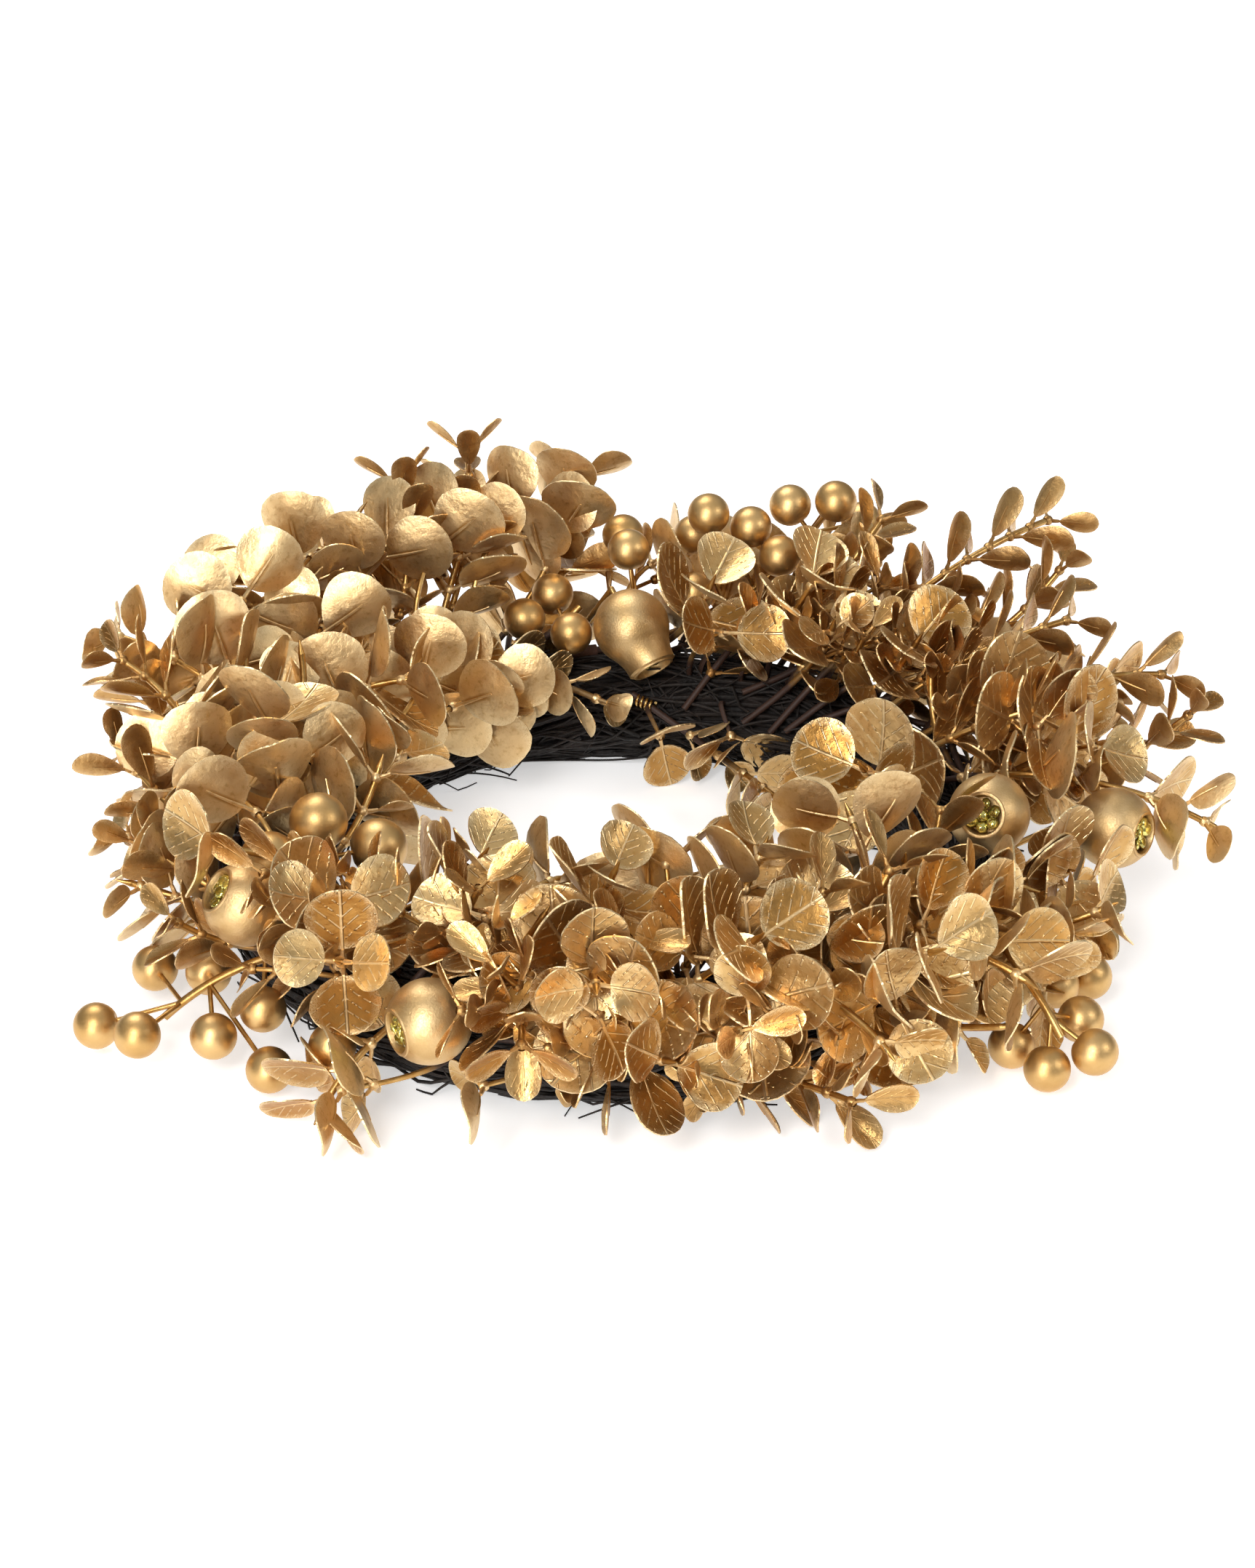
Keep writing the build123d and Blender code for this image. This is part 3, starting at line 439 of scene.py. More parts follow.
@dataclass(frozen=True)
class StemFinish:
    """Gold paint on a stem, over brown tape where the stem leaves the winding.

    Args:
        name: Name of the material.
        light: Gold of the pale clouds.
        deep: Gold of the dark clouds.
        foot: Brown of the tape.
        roughness: Roughness of the gold.
        ring_radius: Radius of the circle in the middle of the bundle.
        ring_height: Height of that circle.
        taped: Distances from that circle where the tape ends and where the gold is full.
        fray: How far the tape's end wanders.
        cloud_scale: Scale of the clouds.
        grain_scale: Scale of the grain.
        grain_depth: Depth of the grain, in metres.
        tape_roughness: Roughness of the tape.
    """

    name: str
    light: Colour
    deep: Colour
    foot: Colour
    roughness: float
    ring_radius: float
    ring_height: float
    taped: tuple[float, float]
    fray: float = 3.0 * MM
    cloud_scale: float = 160.0
    grain_scale: float = 1800.0
    grain_depth: float = 0.1 * MM
    tape_roughness: float = 0.6

    def material(self) -> bpy.types.Material:
        """Build the stem material.

        Returns:
            The material.
        """
        graph = Graph(self.name)
        place = graph.position()
        across, back, up = graph.split(place)
        reach = graph.calc("SUBTRACT", graph.length(across, back), self.ring_radius)
        rise = graph.calc("SUBTRACT", up, self.ring_height)
        cloud = graph.noise(place, self.cloud_scale, 4.0)
        grain = graph.noise(place, self.grain_scale, 2.0)
        gold = graph.blend(graph.span(cloud, 0.32, 0.68), self.light, self.deep)
        wander = graph.span(cloud, 0.3, 0.7, -self.fray, self.fray)
        bare = graph.span(graph.total(graph.length(reach, rise), wander), *self.taped)
        tint = graph.blend(bare, self.foot, gold)
        gloss = graph.span(bare, 0.0, 1.0, self.tape_roughness, self.roughness)
        graph.relief(grain, 0.6, self.grain_depth)
        graph.surface(Base_Color=tint, Metallic=bare, Roughness=gloss)
        return graph.material


@dataclass(frozen=True)
class BarkFinish:
    """Dark, dry bark with fine ridges and paler scuffs.

    Args:
        name: Name of the material.
        dark: Colour of the dark bark.
        brown: Colour of the brown bark.
        scuff: Colour of scuffed ridges.
        roughness: Roughness of the bark.
        cloud_scale: Scale of the dark and brown places.
        ridge_scale: Scale of the ridges.
        ridge_depth: Depth of the ridges, in metres.
    """

    name: str
    dark: Colour
    brown: Colour
    scuff: Colour
    roughness: float
    cloud_scale: float = 90.0
    ridge_scale: float = 700.0
    ridge_depth: float = 0.4 * MM

    def material(self) -> bpy.types.Material:
        """Build the bark material.

        Returns:
            The material.
        """
        graph = Graph(self.name)
        place = graph.position()
        cloud = graph.noise(place, self.cloud_scale, 4.0)
        ridges = graph.noise(place, self.ridge_scale, 4.0, 0.7)
        bark = graph.blend(graph.span(cloud, 0.35, 0.7), self.dark, self.brown)
        bark = graph.blend(graph.span(ridges, 0.6, 0.8, 0.0, 0.5), bark, self.scuff)
        gloss = graph.total(graph.span(ridges, 0.3, 0.7, -0.12, 0.12), self.roughness)
        graph.relief(ridges, 0.9, self.ridge_depth)
        graph.surface(Base_Color=bark, Metallic=0.0, Roughness=gloss)
        return graph.material


@dataclass(frozen=True)
class StoneFinish:
    """Foil-backed faceted acrylic, yellow-green.

    Args:
        name: Name of the material.
        light: Colour of the bright stones.
        deep: Colour of the dark stones.
        roughness: Least roughness of the facets.
        cloud_scale: Scale of the clouds in the stones.
        metallic: How much the foil shows.
        polish: Roughness of the polished skin.
    """

    name: str
    light: Colour
    deep: Colour
    roughness: float
    cloud_scale: float = 500.0
    metallic: float = 0.85
    polish: float = 0.03

    def material(self) -> bpy.types.Material:
        """Build the stone material.

        Returns:
            The material.
        """
        graph = Graph(self.name)
        tone = graph.looks()[0]
        cloud = graph.noise(graph.position(), self.cloud_scale, 2.0)
        share = graph.total(graph.product(tone, 0.75), graph.product(cloud, 0.25))
        tint = graph.blend(graph.span(share, 0.1, 0.9), self.light, self.deep)
        gloss = graph.span(cloud, 0.3, 0.7, self.roughness, self.roughness + 0.08)
        graph.surface(Base_Color=tint, Metallic=self.metallic, Roughness=gloss, Coat_Weight=1.0,
                      Coat_Roughness=self.polish)
        return graph.material


@dataclass(frozen=True)
class TapeFinish:
    """Waxed crepe paper tape, wound tight.

    Args:
        name: Name of the material.
        dark: Colour of the dark places.
        light: Colour of the pale places.
        roughness: Roughness of the paper.
        crease_scale: Scale of the creases.
        cloud_scale: Scale of the dark and pale places.
        crease_depth: Depth of the creases, in metres.
    """

    name: str
    dark: Colour
    light: Colour
    roughness: float
    crease_scale: float = 1500.0
    cloud_scale: float = 200.0
    crease_depth: float = 0.3 * MM

    def material(self) -> bpy.types.Material:
        """Build the tape material.

        Returns:
            The material.
        """
        graph = Graph(self.name)
        place = graph.position()
        creases = graph.noise(place, self.crease_scale, 3.0, 0.7)
        cloud = graph.noise(place, self.cloud_scale, 2.0)
        tint = graph.blend(graph.span(cloud, 0.3, 0.7), self.dark, self.light)
        graph.relief(creases, 0.9, self.crease_depth)
        graph.surface(Base_Color=tint, Metallic=0.0, Roughness=self.roughness)
        return graph.material


EUCALYPTUS_GOLD = GiltLeafFinish(
    "eucalyptus_gold", light=(0.73, 0.50, 0.22), deep=(0.43, 0.215, 0.052),
    under=(0.88, 0.645, 0.34), rim=(0.95, 0.77, 0.46), vein_rows=5.0, vein_slope=0.55,
    vein_share=1.0, roughness=0.34)
BOXWOOD_GOLD = GiltLeafFinish(
    "boxwood_gold", light=(0.60, 0.36, 0.13), deep=(0.33, 0.145, 0.032),
    under=(0.50, 0.30, 0.115), rim=(0.86, 0.62, 0.32), vein_rows=4.0, vein_slope=0.6,
    vein_share=0.3, roughness=0.32)
STEM_GOLD = StemFinish(
    "stem_gold", light=(0.60, 0.38, 0.14), deep=(0.42, 0.22, 0.06), foot=(0.045, 0.02, 0.012),
    roughness=0.36, ring_radius=109.5 * MM, ring_height=16.6 * MM, taped=(24.0 * MM, 33.0 * MM))
BERRY_GOLD = SatinGoldFinish(
    "berry_gold", light=(0.69, 0.46, 0.20), deep=(0.57, 0.345, 0.125), roughness=0.42,
    cloud_scale=60.0, grain_scale=2400.0, grain_depth=0.05 * MM)
BAUBLE_GOLD = SatinGoldFinish(
    "bauble_gold", light=(0.70, 0.50, 0.255), deep=(0.58, 0.385, 0.17), roughness=0.48,
    cloud_scale=120.0, grain_scale=1600.0, grain_depth=0.14 * MM)
WIRE_GOLD = SatinGoldFinish(
    "wire_gold", light=(0.56, 0.36, 0.14), deep=(0.40, 0.24, 0.08), roughness=0.36,
    cloud_scale=150.0, grain_scale=1500.0, grain_depth=0.06 * MM)
TIE_GOLD = SatinGoldFinish(
    "tie_gold", light=(0.80, 0.60, 0.28), deep=(0.66, 0.44, 0.16), roughness=0.22,
    cloud_scale=150.0, grain_scale=1500.0, grain_depth=0.03 * MM)
BARK = BarkFinish(
    "bark", dark=(0.006, 0.004, 0.003), brown=(0.017, 0.010, 0.007), scuff=(0.05, 0.03, 0.018),
    roughness=0.7)
STONE = StoneFinish("stone", light=(0.86, 0.78, 0.22), deep=(0.26, 0.21, 0.02), roughness=0.08)
TAPE = TapeFinish(
    "floral_tape", dark=(0.05, 0.022, 0.014), light=(0.10, 0.045, 0.028), roughness=0.7)


@dataclass
class LoosePart:
    """One closed part of a CAD node's mesh, welded.

    Args:
        points: Vertices in metres.
        triangles: Vertex numbers of each triangle.
    """

    points: np.ndarray
    triangles: np.ndarray

    def middle(self) -> np.ndarray:
        """Return the middle of the part's box."""
        return (self.points.min(axis=0) + self.points.max(axis=0)) / 2

    def axes(self) -> tuple[np.ndarray, np.ndarray]:
        """Find the part's main axes by the area of its skin.

        Returns:
            The centroid, and the axes as rows from the longest to the shortest.
        """
        corners = self.points[self.triangles]
        sides = (corners[:, 1] - corners[:, 0], corners[:, 2] - corners[:, 0])
        areas = np.linalg.norm(np.cross(*sides), axis=1)
        middles = corners.mean(axis=1)
        centroid = (areas[:, None] * middles).sum(axis=0) / areas.sum()
        offset = middles - centroid
        values, vectors = np.linalg.eigh((offset * areas[:, None]).T @ offset)
        return centroid, vectors[:, np.argsort(-values)].T


def loose_parts(node: str) -> list[LoosePart]:
    """Split a CAD node's mesh into its closed parts.

    Args:
        node: Name of the CAD node.

    Returns:
        The parts, in the order of their first vertex.
    """
    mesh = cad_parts[node].data
    points = np.empty(len(mesh.vertices) * 3)
    mesh.vertices.foreach_get("co", points)
    mesh.calc_loop_triangles()
    corners = np.empty(len(mesh.loop_triangles) * 3, dtype=np.int32)
    mesh.loop_triangles.foreach_get("vertices", corners)
    keys = np.round(points.reshape(-1, 3) / WELD).astype(np.int64)
    unique, index = np.unique(keys, axis=0, return_inverse=True)
    triangles = index.reshape(-1)[corners].reshape(-1, 3)
    labels = np.arange(len(unique))
    settled = False
    while not settled:
        least = labels[triangles].min(axis=1)
        fresh = labels.copy()
        for column in range(3):
            np.minimum.at(fresh, triangles[:, column], least)
        fresh = fresh[fresh]
        settled = bool((fresh == labels).all())
        labels = fresh
    parts = []
    for label in np.unique(labels):
        inside = np.flatnonzero(labels == label)
        renumber = np.full(len(unique), -1)
        renumber[inside] = np.arange(len(inside))
        own = triangles[labels[triangles[:, 0]] == label]
        parts.append(LoosePart(unique[inside] * WELD, renumber[own]))
    return parts


def deselect() -> None:
    """Leave edit mode and select nothing."""
    if bpy.context.object is not None and bpy.context.object.mode != "OBJECT":
        bpy.ops.object.mode_set(mode="OBJECT")
    bpy.ops.object.select_all(action="DESELECT")


def pick(piece: bpy.types.Object) -> None:
    """Select one object alone and make it active.

    Args:
        piece: The object.
    """
    deselect()
    piece.select_set(True)
    bpy.context.view_layer.objects.active = piece


def smooth(piece: bpy.types.Object, angle: float) -> None:
    """Shade an object smooth up to an angle.

    Args:
        piece: The object.
        angle: Largest smoothed angle in degrees.
    """
    pick(piece)
    bpy.ops.object.shade_smooth_by_angle(angle=math.radians(angle))


def apply_modifier(piece: bpy.types.Object, kind: str, **settings: object) -> None:
    """Add a modifier to an object and apply it.

    Args:
        piece: The object.
        kind: Type of the modifier.
        settings: Properties of the modifier.
    """
    pick(piece)
    bpy.ops.object.modifier_add(type=kind)
    modifier = piece.modifiers[-1]
    for key, value in settings.items():
        setattr(modifier, key, value)
    bpy.ops.object.modifier_apply(modifier=modifier.name)


def vertex_array(mesh: bpy.types.Mesh) -> np.ndarray:
    """Read a mesh's vertices.

    Args:
        mesh: The mesh.

    Returns:
        The vertices as rows.
    """
    points = np.empty(len(mesh.vertices) * 3)
    mesh.vertices.foreach_get("co", points)
    return points.reshape(-1, 3)


def set_vertices(mesh: bpy.types.Mesh, points: np.ndarray) -> None:
    """Move a mesh's vertices.

    Args:
        mesh: The mesh.
        points: New places as rows.
    """
    mesh.vertices.foreach_set("co", points.astype(np.float32).ravel())
    mesh.update()


def extrude_ring(move: Point, scale: float) -> None:
    """Extrude the selected ring of edges, move it and scale it about its middle.

    Args:
        move: Shift in metres.
        scale: Scale after the shift.
    """
    bpy.ops.mesh.extrude_region_move(TRANSFORM_OT_translate={"value": move})
    bpy.ops.transform.resize(value=(scale, scale, scale))


def close_skin(end_face: bool) -> None:
    """Finish a drawn-out skin in edit mode: turn its faces outward and leave edit mode.

    Args:
        end_face: Whether the selected last ring is closed by a face first.
    """
    if end_face:
        bpy.ops.mesh.edge_face_add()
    bpy.ops.mesh.select_all(action="SELECT")
    bpy.ops.mesh.normals_make_consistent(inside=False)
    bpy.ops.object.mode_set(mode="OBJECT")


def settle(piece: bpy.types.Object, finish: bpy.types.Material,
           stands_for: list[str]) -> None:
    """Dress a finished piece and tie it to the CAD.

    Args:
        piece: The finished object.
        finish: Its material.
        stands_for: CAD nodes that it replaces.
    """
    piece.data.materials.clear()
    piece.data.materials.append(finish)
    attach(piece, BODY)
    if stands_for:
        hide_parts(*stands_for)
    LOG.info("%s: %d faces", piece.name, len(piece.data.polygons))


@dataclass
class Stamp:
    """A modelled shape kept as arrays, to be copied.

    Args:
        points: Vertices.
        corners: Vertex number of each face corner.
        totals: Corners of each face.
        uv: Leaf coordinates of each face corner.
        look: Above and edge values of each vertex.
    """

    points: np.ndarray
    corners: np.ndarray
    totals: np.ndarray
    uv: np.ndarray
    look: np.ndarray

    @classmethod
    def lift(cls, piece: bpy.types.Object, uv: np.ndarray | None = None,
             look: np.ndarray | None = None) -> "Stamp":
        """Take an object's mesh as a stamp and remove the object.

        Args:
            piece: The modelled object.
            uv: Leaf coordinates of each vertex.
            look: Above and edge values of each vertex.

        Returns:
            The stamp.
        """
        deselect()
        mesh = piece.data
        points = vertex_array(mesh)
        corners = np.empty(len(mesh.loops), dtype=np.int32)
        mesh.loops.foreach_get("vertex_index", corners)
        totals = np.empty(len(mesh.polygons), dtype=np.int32)
        mesh.polygons.foreach_get("loop_total", totals)
        uv = np.zeros((len(points), 2)) if uv is None else uv
        look = np.zeros((len(points), 2)) if look is None else look
        bpy.data.objects.remove(piece)
        bpy.data.meshes.remove(mesh)
        return cls(points, corners, totals, uv[corners], look)


@dataclass
class Cluster:
    """Copies of stamps, gathered into one mesh.

    Args:
        points: Vertices of each copy.
        corners: Vertex number of each face corner.
        totals: Corners of each face.
        uv: Leaf coordinates of each face corner.
        look: Tone, above and edge values of each vertex.
        count: Vertices so far.
    """

    points: list[np.ndarray] = field(default_factory=list)
    corners: list[np.ndarray] = field(default_factory=list)
    totals: list[np.ndarray] = field(default_factory=list)
    uv: list[np.ndarray] = field(default_factory=list)
    look: list[np.ndarray] = field(default_factory=list)
    count: int = 0

    def add(self, stamp: Stamp, axes: np.ndarray, origin: np.ndarray, tone: float) -> None:
        """Add a copy of a stamp.

        Args:
            stamp: The shape.
            axes: The copy's three axes as rows, with their scale.
            origin: Where the stamp's origin goes.
            tone: Tone of the copy, from 0 to 1.
        """
        self.points.append(stamp.points @ axes + origin)
        self.corners.append(stamp.corners + self.count)
        self.totals.append(stamp.totals)
        self.uv.append(stamp.uv)
        tones = np.full((len(stamp.points), 1), tone)
        self.look.append(np.hstack([tones, stamp.look, np.ones_like(tones)]))
        self.count += len(stamp.points)

    def build(self, name: str) -> bpy.types.Object:
        """Make one object of the copies.

        Args:
            name: Name of the object.

        Returns:
            The object, at the origin.
        """
        mesh = bpy.data.meshes.new(name)
        points = np.vstack(self.points)
        corners = np.concatenate(self.corners)
        totals = np.concatenate(self.totals)
        mesh.vertices.add(len(points))
        mesh.loops.add(len(corners))
        mesh.polygons.add(len(totals))
        mesh.vertices.foreach_set("co", points.astype(np.float32).ravel())
        mesh.loops.foreach_set("vertex_index", corners.astype(np.int32))
        starts = np.concatenate([[0], np.cumsum(totals)[:-1]]).astype(np.int32)
        mesh.polygons.foreach_set("loop_start", starts)
        layer = mesh.uv_layers.new(name=LEAF_UV)
        layer.data.foreach_set("uv", np.vstack(self.uv).astype(np.float32).ravel())
        looks = mesh.attributes.new(LOOK, "FLOAT_COLOR", "POINT")
        looks.data.foreach_set("color", np.vstack(self.look).astype(np.float32).ravel())
        mesh.update()
        mesh.validate()
        piece = bpy.data.objects.new(name, mesh)
        bpy.context.scene.collection.objects.link(piece)
        return piece


@dataclass
class Blade:
    """One leaf blade of unit length, along X from its base, face up.

    Args:
        width: Width over length.
        widest: Share of the length where it is widest.
        taper: How much the base narrows.
        fold: Fold of the halves in degrees.
        cup: Rise of the rim.
        curl: Droop of the tip.
        wave: Waviness of the rim.
        columns: Faces along.
        rows: Faces across.
        thickness: Thickness over length.
        rib_share: Length of the raised rib below.
        rib_radius: Radius of the rib at its base.
        rim_jitter: Unevenness of the rim.
        crease: Roundness of the fold.
        rib_sides: Sides of the rib.
        rib_steps: Steps along the rib.
        rib_narrowing: Width after each step over the width before it.
        rib_sink: How deep the rib's middle lies, over the thickness.
    """

    width: float
    widest: float
    taper: float
    fold: float
    cup: float
    curl: float
    wave: float
    columns: int = 8
    rows: int = 6
    thickness: float = 0.026
    rib_share: float = 0.62
    rib_radius: float = 0.034
    rim_jitter: float = 0.012
    crease: float = 0.03
    rib_sides: int = 6
    rib_steps: int = 4
    rib_narrowing: float = 0.86
    rib_sink: float = 0.7

    def height(self, along: np.ndarray, across: np.ndarray) -> np.ndarray:
        """Find how high the blade lies.

        Args:
            along: Places along the blade, from 0 to 1.
            across: Places across it, from its rib.

        Returns:
            The heights over the blade's length.
        """
        aside = np.abs(across) / (self.width / 2)
        ridge = np.sqrt(aside ** 2 + self.crease) - math.sqrt(self.crease)
        fold = math.tan(math.radians(self.fold)) * self.width / 2 * ridge
        bowl = self.cup * ((2 * along - 1) ** 2 + aside ** 2 - 0.6)
        turn = np.arctan2(across, along - 0.5)
        reach = np.hypot(across / self.width, along - 0.5) * 2
        droop = self.curl * along ** 2
        return fold + bowl - droop + self.wave * np.sin(3 * turn + 1.0) * reach ** 2

    def model(self, rng: np.random.Generator) -> list[Stamp]:
        """Model the blade and its rib.

        Args:
            rng: Random source for the rim.

        Returns:
            The blade and the rib as stamps.
        """
        deselect()
        bpy.ops.mesh.primitive_grid_add(x_subdivisions=self.columns, y_subdivisions=self.rows,
                                        size=2)
        piece = bpy.context.active_object
        square = vertex_array(piece.data)[:, :2]
        u, v = square[:, 0], square[:, 1]
        edge = np.maximum(np.abs(u), np.abs(v))
        uneven = rng.uniform(-self.rim_jitter, self.rim_jitter, len(u))
        jitter = 1 + np.where(edge > 0.99, uneven, 0)
        run = u * np.sqrt(1 - v ** 2 / 2) * jitter
        across = v * np.sqrt(1 - u ** 2 / 2) * jitter * self.width / 2
        along = np.clip((run + 1) / 2, 0, None) ** (math.log(self.widest) / math.log(0.5))
        across = across * (1 - self.taper * (1 - along) ** 2)
        set_vertices(piece.data, np.column_stack([along, across, self.height(along, across)]))
        uv = np.column_stack([along, across / self.width + 0.5])
        apply_modifier(piece, "SOLIDIFY", thickness=self.thickness, offset=-1.0)
        above = np.repeat([1.0, 0.0], len(u))
        rims = np.tile(np.clip((edge - 0.8) / 0.2, 0, 1) ** 2, 2)
        blade = Stamp.lift(piece, np.tile(uv, (2, 1)), np.column_stack([above, rims]))
        return [blade, self.rib()]

    def rib_level(self, along: float) -> float:
        """Return how high the rib's middle lies at a place along the blade."""
        return float(self.height(np.array(along), np.array(0.0))) - self.thickness * self.rib_sink

    def rib(self) -> Stamp:
        """Model the raised rib under the blade, drawn out from a small ring.

        Returns:
            The rib as a stamp.
        """
        deselect()
        before = self.rib_level(0.0)
        bpy.ops.mesh.primitive_circle_add(vertices=self.rib_sides, radius=self.rib_radius,
                                          location=(0, 0, before), rotation=(0, math.pi / 2, 0))
        piece = bpy.context.active_object
        bpy.ops.object.transform_apply(location=True, rotation=True, scale=True)
        bpy.ops.object.mode_set(mode="EDIT")
        bpy.ops.mesh.select_all(action="SELECT")
        for step in range(1, self.rib_steps + 1):
            level = self.rib_level(self.rib_share * step / self.rib_steps)
            move = (self.rib_share / self.rib_steps, 0, level - before)
            extrude_ring(move, self.rib_narrowing)
            before = level
        close_skin(end_face=True)
        return Stamp.lift(piece)


def share_inside(points: np.ndarray, origin: np.ndarray) -> float:
    """Return the largest share, up to one, that keeps points inside the CAD's box.

    Args:
        points: Points of a shape.
        origin: Point inside the box that they are drawn in to.

    Returns:
        The share.
    """
    low, high = (np.array(corner) for corner in CAD_BOX)
    reach = points - origin
    wall = np.where(reach > 0, high, low) - origin
    reach = np.where(np.abs(reach) < WELD, np.inf, reach)
    shares = np.where(np.isinf(reach), 1.0, wall / reach)
    return float(min(1.0, shares.min()))


def bauble_names() -> list[str]:
    """Return the names of the baubles, which are those of their stones."""
    skip = len("stones_")
    return sorted(name[skip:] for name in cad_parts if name.startswith("stones_"))


def bauble_middles() -> list[np.ndarray]:
    """Return the middle of each CAD bauble's box."""
    return [np.array(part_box("bauble_" + name)).mean(axis=0) for name in bauble_names()]


def share_clear(points: np.ndarray, origin: np.ndarray, middles: list[np.ndarray]) -> float:
    """Return the largest share of a few, up to one, that keeps points out of the baubles.

    Args:
        points: Points of a leaf.
        origin: Point that they are drawn in to.
        middles: Middles of the baubles.

    Returns:
        The share, or the smallest one if none is clear.
    """
    for share in CLEAR_SHARES:
        drawn = origin + (points - origin) * share
        nearest = min(np.linalg.norm(drawn - middle, axis=1).min() for middle in middles)
        if nearest > BAUBLE_ROOM:
            return share
    return CLEAR_SHARES[-1]


@dataclass
class PairPlace:
    """Where a pair of opposite leaves sits on its stem.

    Args:
        origin: Middle of the collar.
        side: Direction in which the leaves part.
        heading: Direction of the stem to its tip.
        reach: Collar middle to leaf tip.
        spread: Angle between the heading and a leaf, in radians.
    """

    origin: np.ndarray
    side: np.ndarray
    heading: np.ndarray
    reach: float
    spread: float

    @classmethod
    def read(cls, part: LoosePart, collar: float) -> "PairPlace":
        """Find the place of a leaf pair from its CAD solid.

        Args:
            part: The pair's part of the mesh.
            collar: Largest distance of collar vertices from the stem's axis.

        Returns:
            The place.
        """
        centroid, axes = part.axes()
        offset = part.points - centroid
        best = None
        for axis in axes[1:]:
            along = offset @ axis
            near = np.linalg.norm(offset - along[:, None] * axis, axis=1) < collar
            if best is None or near.sum() > best[1].sum():
                best = (axis, near, along)
        heading, near, along = best
        level = (along[near].min() + along[near].max()) / 2
        if level > 0:
            heading, level = -heading, -level
        origin = centroid + heading * level
        arms = part.points - origin
        tip = arms[np.argmax(np.linalg.norm(arms, axis=1))]
        across, ahead = abs(float(tip @ axes[0])), float(tip @ heading)
        return cls(origin, axes[0], heading, math.hypot(across, ahead), math.atan2(across, ahead))

    def leaf_axes(self, flip: int) -> np.ndarray:
        """Find one leaf's axes.

        Args:
            flip: 1 or -1 for the side.

        Returns:
            The axes as rows: out from the stem, across, and its face.
        """
        side = self.side * flip
        out = side * math.sin(self.spread) + self.heading * math.cos(self.spread)
        face = self.heading * math.sin(self.spread) - side * math.cos(self.spread)
        return np.array([out, np.cross(face, out), face])


